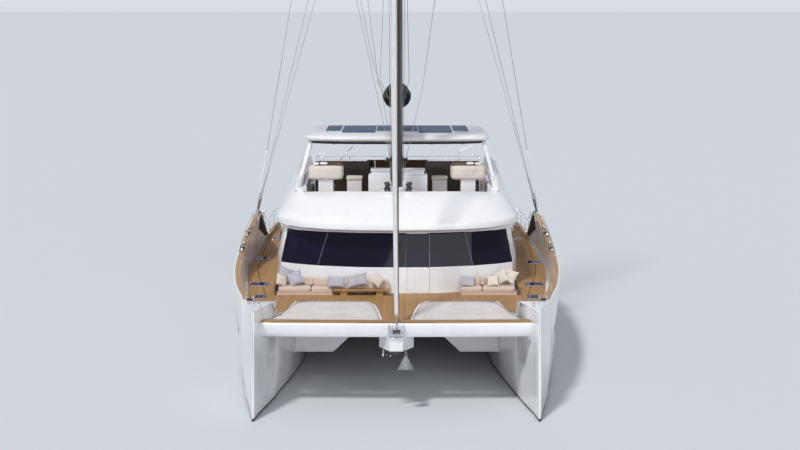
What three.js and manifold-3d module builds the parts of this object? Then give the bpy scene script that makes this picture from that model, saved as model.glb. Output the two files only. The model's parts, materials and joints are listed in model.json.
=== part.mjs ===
// A 24 m cruising sailing catamaran with a flybridge, afloat and at anchor, as a tree of named solids.
// Millimetres. The bows point to -Y, +X is port, +Z is up, and Z = 0 is the waterline amidships.
import * as THREE from "three";
import { mergeVertices } from "three/addons/utils/BufferGeometryUtils.js";
import Module from "manifold-3d";

const wasm = await Module();
wasm.setup();

// Driving dimensions
const BOW_Y = -12000;
const DECK_Z = 2820; // terrace, saloon sole, cockpit and side decks are one level
const HULL_INSIDE_X = 3420; // inboard face of a hull where the bridgedeck meets it
const GAP = 0.3; // between pieces that touch
const CAP = { width: 200, inset: 60, thick: 46 }; // teak rail on the bulwark
const NET_FRONT_Y = -10180;
const NET_BACK_Y = -7300;
const BEAM = { y: -10600, half: 200, bottom: 2440, top: 2900, bow: 90 }; // forward crossbeam
const BRIDGE = { front: -7300, back: 9000, bottom: 1030, centre: 1700 };
const WALL = 90; // saloon walls
const SALOON = { bottom: DECK_Z + GAP, top: 5060, back: 5000, glassBottom: 3750, glassTop: 4930 };
const FLY = { floor: 5320, rim: 6240, front: -3000, back: 8300, x: 3330 };
const HARDTOP = { bottom: 7640, top: 7880, front: -500, back: 4500, x: 3660 };
const MAST = { y: -3600, bottom: FLY.rim + GAP, top: 34800, width: 420, chord: 750 };
const BOOM = { pivotY: -2860, back: 6900, bottom: 9050, top: 9400, width: 420 };
const BAG = { width: 1140, bottom: BOOM.bottom + 60, top: 9960 };
const STAY_FOOT = [0, -10760, 3000];
const STAY_HEAD = [0, -3900, 33200];
const ENGINE_BAY = { x: 4480, front: 6300, back: 8100, half: 480, floor: -150 };
const RUDDER = { x: 4480, y: 9500, top: -560, bottom: -1900 };
const PROP = { x: 4480, y: 8650, z: -1330, radius: 310 };
const WHEEL = { x: 2740, y: -1300, z: 6230, radius: 380 };

// Colours and finishes
const finish = (color, roughness = 0.4, metalness = 0) =>
  new THREE.MeshStandardMaterial({ color, roughness, metalness });
const GELCOAT = finish(0xf2f2f0, 0.25);
const TEAK_WOOD = finish(0xb98a4e, 0.7);
const DARK_GLASS = finish(0x15131f, 0.08);
const NETTING = finish(0xd9cfc6, 0.9);
const CARBON = finish(0x2b2b30, 0.35);
const STEEL = finish(0xc9ccd0, 0.2, 1);
const BRONZE = finish(0x9a7a45, 0.35, 1);
const SAILCLOTH = finish(0xf4efe9, 0.8);
const BAG_CLOTH = finish(0x23252c, 0.85);
const LEATHER = finish(0xd9c9b6, 0.75);
const DARK_SEAT = finish(0x3a3436, 0.85);
const SOLAR = finish(0x24344d, 0.2);
const ANTIFOUL = finish(0x23303f, 0.8);

const root = new THREE.Group();

// Shape helpers

// A geometry as a manifold solid, with only its positions kept and shared vertices merged.
function solid(geometry) {
  const plain = (geometry.index ? geometry.toNonIndexed() : geometry).clone();
  plain.deleteAttribute("normal");
  plain.deleteAttribute("uv");
  const merged = mergeVertices(plain, 1e-3);
  return new wasm.Manifold(
    new wasm.Mesh({
      numProp: 3,
      vertProperties: new Float32Array(merged.attributes.position.array),
      triVerts: new Uint32Array(merged.index.array),
    }),
  );
}

// A manifold solid as a three.js geometry.
function shape(manifold) {
  const mesh = manifold.getMesh();
  const geometry = new THREE.BufferGeometry();
  geometry.setAttribute("position", new THREE.BufferAttribute(mesh.vertProperties, 3));
  geometry.setIndex(new THREE.BufferAttribute(mesh.triVerts, 1));
  geometry.computeVertexNormals();
  return geometry;
}

const join = (...geometries) => shape(geometries.map(solid).reduce((a, b) => a.add(b)));
const cut = (geometry, ...tools) =>
  shape(tools.map(solid).reduce((a, b) => a.subtract(b), solid(geometry)));

// A closed skin over rings of equal length, with both ends capped, turned so that its faces point out.
function loft(rings) {
  const count = rings[0].length;
  const index = [];
  for (let r = 0; r + 1 < rings.length; r++)
    for (let i = 0; i < count; i++) {
      const a = r * count + i;
      const b = r * count + ((i + 1) % count);
      index.push([a, b, a + count], [b, b + count, a + count]);
    }
  const last = (rings.length - 1) * count;
  for (const triangle of capTriangles(rings[0])) index.push(triangle.toReversed());
  for (const triangle of capTriangles(rings[rings.length - 1])) index.push(triangle.map((i) => i + last));
  const points = rings.flat().map((p) => new THREE.Vector3(...p));
  const volume = index.reduce(
    (sum, [a, b, c]) => sum + points[a].dot(new THREE.Vector3().crossVectors(points[b], points[c])),
    0,
  );
  const geometry = new THREE.BufferGeometry().setFromPoints(points);
  geometry.setIndex(index.flatMap((triangle) => (volume < 0 ? triangle.toReversed() : triangle)));
  return geometry;
}

// A ring's own triangles, all wound the way the ring runs, found in the plane that it faces most.
function capTriangles(ring) {
  const points = ring.map((p) => new THREE.Vector3(...p));
  const normal = new THREE.Vector3();
  points.forEach((p, i) => normal.add(new THREE.Vector3().crossVectors(p, points[(i + 1) % points.length])));
  const facing = normal.toArray().map(Math.abs);
  const [a, b] = [0, 1, 2].filter((k) => k !== facing.indexOf(Math.max(...facing)));
  const flat = ring.map((p) => new THREE.Vector2(p[a], p[b]));
  return THREE.ShapeUtils.triangulateShape(flat, []).map((triangle) => triangle.toSorted((i, j) => i - j));
}

const box = (x0, x1, y0, y1, z0, z1) =>
  new THREE.BoxGeometry(x1 - x0, y1 - y0, z1 - z0).translate((x0 + x1) / 2, (y0 + y1) / 2, (z0 + z1) / 2);

// A cylinder from one point to another, with its own radius at each end.
function rod(from, to, radius, endRadius = radius, sides = 12) {
  const a = new THREE.Vector3(...from);
  const b = new THREE.Vector3(...to);
  const geometry = new THREE.CylinderGeometry(endRadius, radius, a.distanceTo(b), sides);
  const direction = b.clone().sub(a).normalize();
  const turn = new THREE.Quaternion().setFromUnitVectors(new THREE.Vector3(0, 1, 0), direction);
  return geometry.applyQuaternion(turn).translate(...a.add(b).multiplyScalar(0.5).toArray());
}

// An outline in plan, raised from z0 to z1.
function plate(outline, z0, z1) {
  const flat = new THREE.Shape(outline.map(([x, y]) => new THREE.Vector2(x, y)));
  return new THREE.ExtrudeGeometry(flat, { depth: z1 - z0, bevelEnabled: false }).translate(0, 0, z0);
}

// An outline in the plane across the boat, carried from y0 to y1.
function along(outline, y0, y1) {
  const flat = new THREE.Shape(outline.map(([x, z]) => new THREE.Vector2(x, z)));
  return new THREE.ExtrudeGeometry(flat, { depth: y1 - y0, bevelEnabled: false })
    .rotateX(Math.PI / 2)
    .translate(0, y1, 0);
}

const flipX = (outline) => outline.map(([x, ...rest]) => [-x, ...rest]).reverse();
const sumOf = (a, b) => a.map((v, i) => v + b[i]);
const mix = (a, b, t) => a + (b - a) * t;

function add(name, geometry, material) {
  const mesh = new THREE.Mesh(geometry, material);
  mesh.name = name;
  root.add(mesh);
  return geometry;
}

// The mirror image of a geometry across the centreline, still facing out.
function mirror(geometry) {
  const plain = geometry.index ? geometry.toNonIndexed() : geometry.clone();
  const p = plain.attributes.position;
  for (let i = 0; i < p.count; i++) p.setX(i, -p.getX(i));
  for (let i = 0; i < p.count; i += 3) {
    const [x, y, z] = [p.getX(i), p.getY(i), p.getZ(i)];
    p.setXYZ(i, p.getX(i + 1), p.getY(i + 1), p.getZ(i + 1));
    p.setXYZ(i + 1, x, y, z);
  }
  return plain;
}

// Adds the same piece on both sides, made once for port.
function addPair(name, geometry, material) {
  add(`${name}_port`, geometry, material);
  add(`${name}_starboard`, mirror(geometry), material);
  return geometry;
}

// Hulls
// Each row: place along the boat, keel height, half breadths from the centreline at the waterline (inside and
// outside), at the chine and at the rail, then rail height, foot of the bulwark, deck height and inner edge of
// the deck. The first four rows are the bow deck, which ends in a step.
const STATION_KEYS = ["y", "keel", "wIn", "wOut", "chine", "railX", "railZ", "foot", "deck", "inX"];
const STATIONS = [
  [-12000, -420, 4475, 4525, 4525, 4530, 3400, 4505, 3380, 4460],
  [-11300, -700, 4385, 4645, 4660, 4600, 3400, 4560, 3360, 4395],
  [-10400, -880, 4210, 4830, 4880, 4830, 3390, 4770, 3340, 4240],
  [-9520, -960, 4065, 4990, 5070, 5090, 3370, 4880, 3320, 3950],
  [-9500, -960, 4060, 4995, 5075, 5100, 3370, 4740, DECK_Z, 3930],
  [-7300, -1060, 3740, 5330, 5450, 5560, 3370, 4930, DECK_Z, HULL_INSIDE_X],
  [-5000, -1120, 3460, 5600, 5750, 5900, 3470, 5120, DECK_Z, HULL_INSIDE_X],
  [-2800, -1160, HULL_INSIDE_X, 5740, 5900, 6010, 3740, 5340, DECK_Z, HULL_INSIDE_X],
  [-1100, -1180, HULL_INSIDE_X, 5780, 5950, 5940, 4180, 5480, DECK_Z, HULL_INSIDE_X],
  [300, -1180, HULL_INSIDE_X, 5800, 5960, 5760, 4610, 5520, DECK_Z, HULL_INSIDE_X],
  [1100, -1180, HULL_INSIDE_X, 5800, 5960, 5750, 4640, 5520, DECK_Z, HULL_INSIDE_X],
  [2400, -1150, HULL_INSIDE_X, 5790, 5950, 5780, 4180, 5550, DECK_Z, HULL_INSIDE_X],
  [4000, -1090, HULL_INSIDE_X, 5750, 5920, 5810, 3420, 5580, DECK_Z, HULL_INSIDE_X],
  [5400, -1010, 3450, 5700, 5860, 5800, 2950, 5600, DECK_Z, HULL_INSIDE_X],
  [9000, -640, 3560, 5500, 5660, 5680, 2910, 5480, DECK_Z, HULL_INSIDE_X],
  [12000, -160, 3720, 5250, 5400, 5440, 2300, 5240, 2200, 3640],
].map((row) => Object.fromEntries(STATION_KEYS.map((key, i) => [key, row[i]])));
const CHINE_Z = 1150;
const STEP_Y = -9500; // the step down from the bow deck
const BOW_RAKE = 0.159; // the stem leans aft going up
const RAKE_END_Y = -9600;

// Stations between the rows, on a Catmull-Rom curve through each column of the table.
const CURVED_FROM = 4; // the bow deck's rows and the step stay as they are
const BETWEEN = 3;
function smoothStations() {
  const rows = STATIONS.slice(CURVED_FROM);
  const curved = rows.slice(0, -1).flatMap((row, i) =>
    Array.from({ length: BETWEEN }, (_, step) => {
      const t = step / BETWEEN;
      const [before, a, b, after] = [rows[i - 1] ?? row, row, rows[i + 1], rows[i + 2] ?? rows[i + 1]];
      const at = (key) => {
        const [p, q, r, u] = [before[key], a[key], b[key], after[key]];
        return q + 0.5 * t * (r - p + t * (2 * p - 5 * q + 4 * r - u + t * (3 * (q - r) + u - p)));
      };
      const smooth = Object.fromEntries(Object.keys(row).map((key) => [key, at(key)]));
      return {
        ...smooth,
        y: mix(a.y, b.y, t),
        railZ: Math.min(smooth.railZ, Math.max(a.railZ, b.railZ)),
        deck: mix(a.deck, b.deck, t),
        inX: Math.max(smooth.inX, HULL_INSIDE_X),
      };
    }),
  );
  return [...STATIONS.slice(0, CURVED_FROM), ...curved, STATIONS.at(-1)];
}
const stations = smoothStations();

const keelX = (s) => mix(s.wIn, s.wOut, 0.5);
// The top of the bulwark is as wide as the rail needs, or what the bulwark's own slope leaves.
const topWidth = (s) => Math.min(CAP.inset + CAP.width, (s.railX - s.foot) * 0.85);
const raked = (s, z) => {
  const fade = Math.max(0, (RAKE_END_Y - s.y) / (RAKE_END_Y - BOW_Y));
  return s.y + BOW_RAKE * Math.max(0, z) * fade;
};

function hullRing(s) {
  const keel = keelX(s);
  const ring = [
    [keel, s.keel],
    [mix(keel, s.wOut, 0.66), s.keel * 0.8],
    [mix(keel, s.wOut, 0.92), s.keel * 0.4],
    [s.wOut, 0],
    [s.chine, CHINE_Z],
    [s.railX, s.railZ],
    [s.railX - topWidth(s), s.railZ],
    [s.foot, s.deck],
    [s.inX, s.deck],
    [mix(s.wIn, s.inX, 0.7), CHINE_Z],
    [s.wIn, 0],
    [mix(keel, s.wIn, 0.92), s.keel * 0.4],
    [mix(keel, s.wIn, 0.66), s.keel * 0.8],
  ];
  return ring.map(([x, z]) => [x, raked(s, z), z]);
}

const STUB_KEEL = { x: 4530, y0: -1900, y1: 2100, half: 190, root: -700, bottom: -1950, sweep: 260 };
const keelFoil = (z, inset) => {
  const { x, y0, y1, half } = STUB_KEEL;
  return [
    [x, y0 + inset, z],
    [x + half, mix(y0, y1, 0.3), z],
    [x + half * 0.6, mix(y0, y1, 0.7), z],
    [x, y1 - inset * 0.4, z],
    [x - half * 0.6, mix(y0, y1, 0.7), z],
    [x - half, mix(y0, y1, 0.3), z],
  ];
};

// The transom steps go down aft, between the two sides of the hull.
const TREADS = [
  { y: 9600, z: 2420 },
  { y: 10000, z: 2020 },
  { y: 10400, z: 1620 },
  { y: 10800, z: 1220 },
  { y: 11200, z: 820 },
];
const HATCH = { lip: 60, thick: 60 }; // engine hatch lids
const bay = (grow, z0, z1) =>
  box(
    ENGINE_BAY.x - ENGINE_BAY.half - grow,
    ENGINE_BAY.x + ENGINE_BAY.half + grow,
    ENGINE_BAY.front - grow,
    ENGINE_BAY.back + grow,
    z0,
    z1,
  );
const hullCuts = [
  ...TREADS.map((t) => box(3860, 5160, t.y, 12600, t.z, 4000)),
  box(3000, 6200, 11200, 12600, 1500, 4000),
  bay(0, ENGINE_BAY.floor, 4000),
  bay(HATCH.lip, DECK_Z - HATCH.thick, 4000),
  rod([RUDDER.x, RUDDER.y, -1500], [RUDDER.x, RUDDER.y, 400], 66),
  rod([PROP.x, PROP.y - 550, -1500], [PROP.x, PROP.y - 550, 200], 86),
];
const stubKeel = loft([keelFoil(STUB_KEEL.bottom, STUB_KEEL.sweep), keelFoil(STUB_KEEL.root, 0)]);
const hull = cut(join(loft(stations.map(hullRing)), stubKeel), ...hullCuts);
// The bulwark above the deck is a piece of its own, from the step behind the bow deck to the stern.
const bulwarkSpace = (grow) => solid(box(3000, 7000, STEP_Y - grow, 13000, DECK_Z - grow, 7000));
addPair("hull", shape(solid(hull).subtract(bulwarkSpace(0))), GELCOAT);
addPair("bulwark", shape(solid(hull).intersect(bulwarkSpace(-GAP))), GELCOAT);

const hullCopy = solid(hull).translate([-GAP, 0, 0]);
const hullMirror = solid(mirror(hull)).translate([GAP, 0, 0]);
const clearOfHulls = (geometry) => solid(geometry).subtract(hullCopy).subtract(hullMirror);

const railStations = stations.slice(CURVED_FROM, -BETWEEN);
const capRing = (s) => {
  const outer = s.railX - CAP.inset * (topWidth(s) / (CAP.inset + CAP.width));
  const inner = s.railX - topWidth(s) - 20;
  return [
    [outer, s.y, s.railZ + GAP],
    [outer - 10, s.y, s.railZ + CAP.thick],
    [inner, s.y, s.railZ + CAP.thick],
    [inner, s.y, s.railZ + GAP],
  ];
};
const capRail = addPair("cap_rail", loft(railStations.map(capRing)), TEAK_WOOD);

// Bridgedeck, crossbeam, longeron and nets
const bridgeHalf = [
  [3700, DECK_Z],
  [3700, BRIDGE.bottom],
  [2200, BRIDGE.bottom],
  [1500, BRIDGE.centre],
];
const bridgeOutline = [...bridgeHalf, ...flipX(bridgeHalf)];
const bridgedeck = shape(clearOfHulls(along(bridgeOutline, BRIDGE.front, BRIDGE.back)));
add("bridgedeck", bridgedeck, GELCOAT);

const beamRing = (x) => {
  const y = BEAM.y - BEAM.bow * (1 - (x / 4400) ** 2);
  return [
    [x, y - BEAM.half * 0.7, BEAM.bottom],
    [x, y - BEAM.half, BEAM.bottom + 120],
    [x, y - BEAM.half, BEAM.top - 60],
    [x, y - BEAM.half + 50, BEAM.top],
    [x, y + BEAM.half, BEAM.top],
    [x, y + BEAM.half, BEAM.bottom],
  ];
};
const beamXs = [-4600, -3600, -2400, -1200, 0, 1200, 2400, 3600, 4600];
const crossbeam = shape(clearOfHulls(loft(beamXs.map(beamRing))));
add("crossbeam", crossbeam, GELCOAT);
const beamCapRing = (x) => {
  const y = BEAM.y - BEAM.bow * (1 - (x / 4400) ** 2);
  const [low, high] = [BEAM.top + GAP, BEAM.top + 26];
  return [
    [x, y - BEAM.half + 40, low],
    [x, y - BEAM.half + 40, high],
    [x, y + BEAM.half, high],
    [x, y + BEAM.half, low],
  ];
};
add("crossbeam_cap", shape(clearOfHulls(loft(beamXs.map(beamCapRing)))), TEAK_WOOD);

const behindBeam = BEAM.y + BEAM.half + GAP;
const walkway = [
  [-640, behindBeam],
  [640, behindBeam],
  [760, -8700],
  [1360, NET_BACK_Y - GAP],
  [-1360, NET_BACK_Y - GAP],
  [-760, -8700],
];
const nacelle = loft([
  [
    [-210, -10960, 1990],
    [210, -10960, 1990],
    [210, -10960, BEAM.bottom - GAP],
    [-210, -10960, BEAM.bottom - GAP],
  ],
  [
    [-560, -10250, 1960],
    [560, -10250, 1960],
    [560, -10250, BEAM.bottom - GAP],
    [-560, -10250, BEAM.bottom - GAP],
  ],
  [
    [-560, NET_BACK_Y - GAP, 1900],
    [560, NET_BACK_Y - GAP, 1900],
    [560, NET_BACK_Y - GAP, BEAM.bottom - GAP],
    [-560, NET_BACK_Y - GAP, BEAM.bottom - GAP],
  ],
]);
const longeron = join(
  plate(walkway, DECK_Z - 120, DECK_Z),
  box(-420, 420, behindBeam, NET_BACK_Y - GAP, BEAM.bottom - 10, DECK_Z - 60),
  nacelle,
);
add("longeron", longeron, GELCOAT);

const netSheet = plate(
  [
    [500, NET_FRONT_Y - 400],
    [4400, NET_FRONT_Y - 400],
    [4400, NET_FRONT_Y + 500],
    [3900, NET_BACK_Y - 400],
    [3200, NET_BACK_Y],
    [500, NET_BACK_Y],
  ],
  DECK_Z - 60,
  DECK_Z - 30,
);
const net = shape(
  clearOfHulls(netSheet)
    .subtract(solid(crossbeam).translate([0, GAP, 0]))
    .subtract(solid(longeron).translate([GAP, 0, 0]))
    .subtract(solid(bridgedeck).translate([0, -GAP, 0])),
);
addPair("net", net, NETTING);

const ANCHOR = { x: 300, shankBottom: 1880, shankTop: 2010 };
const anchorBody = solid(
  join(
    box(ANCHOR.x - 30, ANCHOR.x + 30, -11000, -10000, ANCHOR.shankBottom, ANCHOR.shankTop),
    loft([
      [
        [ANCHOR.x - 30, -11000, 1940],
        [ANCHOR.x + 30, -11000, 1940],
        [ANCHOR.x + 30, -10920, 1900],
        [ANCHOR.x - 30, -10920, 1900],
      ],
      [
        [ANCHOR.x - 250, -11160, 1520],
        [ANCHOR.x + 250, -11160, 1520],
        [ANCHOR.x + 250, -11100, 1500],
        [ANCHOR.x - 250, -11100, 1500],
      ],
    ]),
  ),
);
add("anchor", shape(anchorBody.subtract(solid(longeron).translate([GAP, -GAP, -GAP]))), STEEL);

// Running gear: rudders, drive legs, propellers, and the engines under their hatches
const foilRing = (cx, y0, y1, half, z, lean = 0) => [
  [cx, y0 + lean, z],
  [cx + half, mix(y0, y1, 0.3) + lean, z],
  [cx + half * 0.5, mix(y0, y1, 0.75) + lean, z],
  [cx, y1 + lean, z],
  [cx - half * 0.5, mix(y0, y1, 0.75) + lean, z],
  [cx - half, mix(y0, y1, 0.3) + lean, z],
];
addPair(
  "rudder",
  join(
    loft([
      foilRing(RUDDER.x, RUDDER.y - 200, RUDDER.y + 560, 60, RUDDER.top - 60),
      foilRing(RUDDER.x, RUDDER.y - 130, RUDDER.y + 420, 40, RUDDER.bottom),
    ]),
    rod([RUDDER.x, RUDDER.y, RUDDER.bottom + 200], [RUDDER.x, RUDDER.y, 350], 58),
  ),
  ANTIFOUL,
);

const legTop = 150;
addPair(
  "drive_leg",
  join(
    loft([
      foilRing(PROP.x, PROP.y - 700, PROP.y - 400, 55, PROP.z + 60),
      foilRing(PROP.x, PROP.y - 720, PROP.y - 380, 60, -800),
    ]),
    rod([PROP.x, PROP.y - 550, -830], [PROP.x, PROP.y - 550, legTop], 80),
    rod([PROP.x, PROP.y - 820, PROP.z], [PROP.x, PROP.y - 130, PROP.z], 40, 78),
    rod([PROP.x, PROP.y - 200, PROP.z], [PROP.x, PROP.y - 60, PROP.z], 24),
  ),
  BRONZE,
);

// One blade, twisted from root to tip, with its root inside the hub.
const BLADES = 4;
const BLADE_ROWS = [
  { r: 50, half: 50, pitch: 58, thick: 22 },
  { r: 170, half: 95, pitch: 44, thick: 16 },
  { r: PROP.radius, half: 60, pitch: 34, thick: 12 },
];
function blade() {
  return loft(
    BLADE_ROWS.map(({ r, half, pitch, thick }) => {
      const a = THREE.MathUtils.degToRad(pitch);
      const [c, s, t] = [Math.cos(a), Math.sin(a), thick / 2];
      const corner = (u, v) => [u * c - v * s, u * s + v * c, r];
      return [corner(-half, 0), corner(0, -t), corner(half, 0), corner(0, t)];
    }),
  );
}
const propeller = join(
  rod([0, -85, 0], [0, 70, 0], 72, 60),
  rod([0, 60, 0], [0, 150, 0], 60, 16),
  ...Array.from({ length: BLADES }, (_, i) => blade().rotateY((i * 2 * Math.PI) / BLADES)),
);
const shaftHole = rod([0, -90, 0], [0, -50, 0], 34);
addPair("propeller", cut(propeller, shaftHole).translate(PROP.x, PROP.y, PROP.z), BRONZE);

const engineBox = {
  x0: ENGINE_BAY.x - 370,
  x1: ENGINE_BAY.x + 370,
  y0: ENGINE_BAY.front + 250,
  y1: ENGINE_BAY.back - 250,
  z0: ENGINE_BAY.floor + GAP,
  z1: ENGINE_BAY.floor + 950,
};
addPair("engine", box(...Object.values(engineBox)), finish(0x8d9399, 0.5, 0.3));
const lid = { grow: HATCH.lip - 8, z0: DECK_Z - HATCH.thick + GAP, z1: DECK_Z };
addPair("engine_hatch", bay(lid.grow, lid.z0, lid.z1), TEAK_WOOD);

// Deckhouse: a ring of walls with the windows and doors cut, standing on the deck
const houseHalf = (front, corner, aft) => [
  [0, front],
  [1400, front + 60],
  [2700, front + 330],
  [3600, front + 700],
  [corner, front + 1070],
  [corner + 200, front + 2000],
  [mix(corner, aft, 0.7), -600],
  [aft, SALOON.back],
];
// The right-hand half runs forward to aft, so that the mirrored half closes the outline.
const houseOutline = (front, corner, aft) => {
  const half = houseHalf(front, corner, aft);
  return [...half, ...half.slice(1).reverse().map(([x, y]) => [-x, y])];
};
const HOUSE_LOW = { front: -6050, corner: 4200, aft: 4880 };
const HOUSE_MID = { front: -6000, corner: 4180, aft: 4850 };
const HOUSE_TOP = { front: -5640, corner: 3960, aft: 4700 };
const houseRing = (o, inset, z) =>
  houseOutline(o.front + inset, o.corner - inset, o.aft - inset).map(([x, y]) => [
    x,
    y === SALOON.back ? y - inset : y,
    z,
  ]);
const houseSolid = (inset, below = 0) =>
  loft([
    houseRing(HOUSE_LOW, inset, SALOON.bottom - below),
    houseRing(HOUSE_MID, inset, SALOON.glassBottom),
    houseRing(HOUSE_TOP, inset, SALOON.top + below),
  ]);
const FRONT_DOOR = { x0: 360, x1: 1160, z0: 2860, z1: 4900 };
const SIDE_WINDOW = [-3650, 4700];
const AFT_OPENING = { half: 2700, z0: 2860, z1: 4860 };
const windscreen = (grow) =>
  shape(
    solid(box(-5000, 5000, -7000, -4700, SALOON.glassBottom - grow, SALOON.glassTop + grow)).subtract(
      solid(box(FRONT_DOOR.x0 - 60 + grow, FRONT_DOOR.x1 + 60 - grow, -7000, -4600, 3000, 5100)),
    ),
  );
const sideWindow = (grow) => {
  const [y0, y1] = SIDE_WINDOW;
  return box(3900, 5400, y0 - grow, y1 + grow, 3700 - grow, SALOON.glassTop + grow);
};
const doorHole = box(FRONT_DOOR.x0, FRONT_DOOR.x1, -7000, -5400, FRONT_DOOR.z0, FRONT_DOOR.z1);
const aftHole = box(-AFT_OPENING.half, AFT_OPENING.half, 4600, 5400, AFT_OPENING.z0, AFT_OPENING.z1);
const wallSolid = solid(houseSolid(0)).subtract(solid(houseSolid(WALL, 50)));
const deckhouse = shape(
  [
    windscreen(0),
    doorHole,
    aftHole,
    sideWindow(0),
    mirror(sideWindow(0)),
  ].reduce((body, tool) => body.subtract(solid(tool)), wallSolid),
);
add("deckhouse", deckhouse, GELCOAT);

const glassBand = solid(houseSolid(12)).subtract(solid(houseSolid(44, 50)));
const paneOf = (tool) => shape(glassBand.intersect(solid(tool)));
const screenFrom = (x0, x1) =>
  shape(solid(windscreen(-GAP)).intersect(solid(box(x0, x1, -7100, -4500, 3000, 5300))));
add("windscreen_port", paneOf(screenFrom(FRONT_DOOR.x1, 5200)), DARK_GLASS);
add("windscreen_starboard", paneOf(screenFrom(-5200, FRONT_DOOR.x0)), DARK_GLASS);
addPair("side_glass", paneOf(sideWindow(-GAP)), DARK_GLASS);

// The front door swings out on its inboard edge; the far edge has the room that its leaning top needs.
const leafSpace = box(
  FRONT_DOOR.x0 + 6,
  FRONT_DOOR.x1 - 62,
  -7000,
  -5400,
  FRONT_DOOR.z0 + 6,
  FRONT_DOOR.z1 - 8,
);
const doorLeaf = shape(wallSolid.intersect(solid(leafSpace)));
const leafSplit = box(0, 1500, -7000, -5300, SALOON.glassBottom, 5200);
add("front_door", cut(doorLeaf, leafSplit), GELCOAT);
const leafGlass = shape(solid(doorLeaf).intersect(solid(leafSplit)).translate([0, 0, GAP]));
add("front_door_glass", leafGlass, DARK_GLASS);

// The aft doorway has two fixed panes outboard and one sliding pane behind them.
const paneWidth = AFT_OPENING.half * 0.66;
const aftPane = (x0, x1, z0 = AFT_OPENING.z0 + GAP) => box(x0, x1, 4930, 4965, z0, AFT_OPENING.z1 - GAP);
add(
  "aft_glass",
  join(
    aftPane(-AFT_OPENING.half + GAP, -AFT_OPENING.half + paneWidth),
    aftPane(AFT_OPENING.half - paneWidth, AFT_OPENING.half - GAP),
    aftPane(-AFT_OPENING.half + GAP, AFT_OPENING.half - GAP, AFT_OPENING.z1 - 60),
  ),
  DARK_GLASS,
);
add("aft_door", box(-960, 960, 5012, 5042, AFT_OPENING.z0 + 10, AFT_OPENING.z1 + 20), DARK_GLASS);

// Flybridge: the brow over the windscreen, its coaming, and the deck that roofs the saloon and the cockpit
// Each row of the half outline: share of the width, distance aft of the front.
const FLY_PLAN = [
  [0, 0],
  [0.3, 60],
  [0.55, 260],
  [0.75, 640],
  [0.9, 1200],
  [0.98, 1900],
  [1, 2600],
];
// A half outline closed with its mirror image, at one height.
const closedRing = (half, z) =>
  [...half, ...half.slice(1).reverse().map(([x, y]) => [-x, y])].map(([x, y]) => [x, y, z]);
function flyRing({ front, half, aftHalf, back, z }) {
  const fore = FLY_PLAN.map(([share, aft]) => [share * half, front + aft]);
  const aft = [
    [mix(half, aftHalf, 0.5), mix(front, back, 0.6)],
    [aftHalf, back - 300],
    [aftHalf - 300, back],
  ];
  return closedRing([...fore, ...aft], z);
}
const FLY_RINGS = [
  { front: -6160, half: 4280, aftHalf: 4500, back: 8900, z: SALOON.top + GAP },
  { front: -6300, half: 4400, aftHalf: 4620, back: 9000, z: 5130 },
  { front: -6240, half: 4420, aftHalf: 4620, back: 9000, z: 5330 },
  { front: -5800, half: 4280, aftHalf: 4560, back: 8960, z: 5600 },
  { front: -5250, half: 4160, aftHalf: 4480, back: 8900, z: 5900 },
  { front: -4640, half: 3950, aftHalf: 4360, back: 8800, z: FLY.rim },
];
const basinRing = (z, wider) => {
  const x = FLY.x + wider;
  const points = [
    [-x, FLY.front],
    [x, FLY.front],
    [x + 120, FLY.back * 0.4],
    [x + 560, FLY.back],
    [-x - 560, FLY.back],
    [-x - 120, FLY.back * 0.4],
  ];
  return points.map(([px, py]) => [px, py, z]);
};
const STAIR = { x0: -3000, x1: -2050, y0: 5060, y1: 7660 }; // the well in the flybridge deck
const stairWell = box(STAIR.x0, STAIR.x1, STAIR.y0 - 50, STAIR.y1 - 300, 4900, 5600);
const aftRail = box(-5000, 5000, 4700, 9400, 5900, 7000); // the coaming is lower aft
// Posts carry its aft end over the cockpit.
const POST = { x: 4250, y: 8620, half: 110, long: 280 };
const post = box(
  POST.x - POST.half,
  POST.x + POST.half,
  POST.y - POST.long,
  POST.y + POST.long,
  DECK_Z + GAP,
  5300,
);
// The coaming rises along each side, where the hardtop's pillars stand on it.
const COAMING = { top: 6480, foot: 6150 };
const coaming = loft([
  coamingRing(-3500, 3760, 3720, 3560, FLY.rim + 10),
  coamingRing(-2300, 3940, 3800, 3520, COAMING.top),
  coamingRing(4500, 4180, 4040, 3700, COAMING.top),
  coamingRing(4690, 4190, 4060, 3700, COAMING.top - 120),
]);
function coamingRing(y, outer, topOuter, inner, top) {
  return [
    [outer, y, COAMING.foot],
    [topOuter, y, top],
    [inner, y, top],
    [inner - 10, y, COAMING.foot],
  ];
}
// The top of the brow falls aft to the flybridge, except under the mast.
const FALL = { inner: 330, outer: 3440, crest: -4350, low: FLY.rim - 230 };
const fallRing = (x) => [
  [x, FALL.crest, FLY.rim],
  [x, FLY.front + 20, FALL.low],
  [x, FLY.front + 20, FLY.rim + 20],
  [x, FALL.crest, FLY.rim + 20],
];
const fall = loft([fallRing(FALL.inner), fallRing(FALL.outer)]);
const flybridge = cut(
  join(loft(FLY_RINGS.map(flyRing)), coaming, mirror(coaming), post, mirror(post)),
  loft([basinRing(FLY.floor, 0), basinRing(COAMING.top + 100, 80)]),
  fall,
  mirror(fall),
  aftRail,
  stairWell,
);
add("flybridge", flybridge, GELCOAT);

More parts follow.
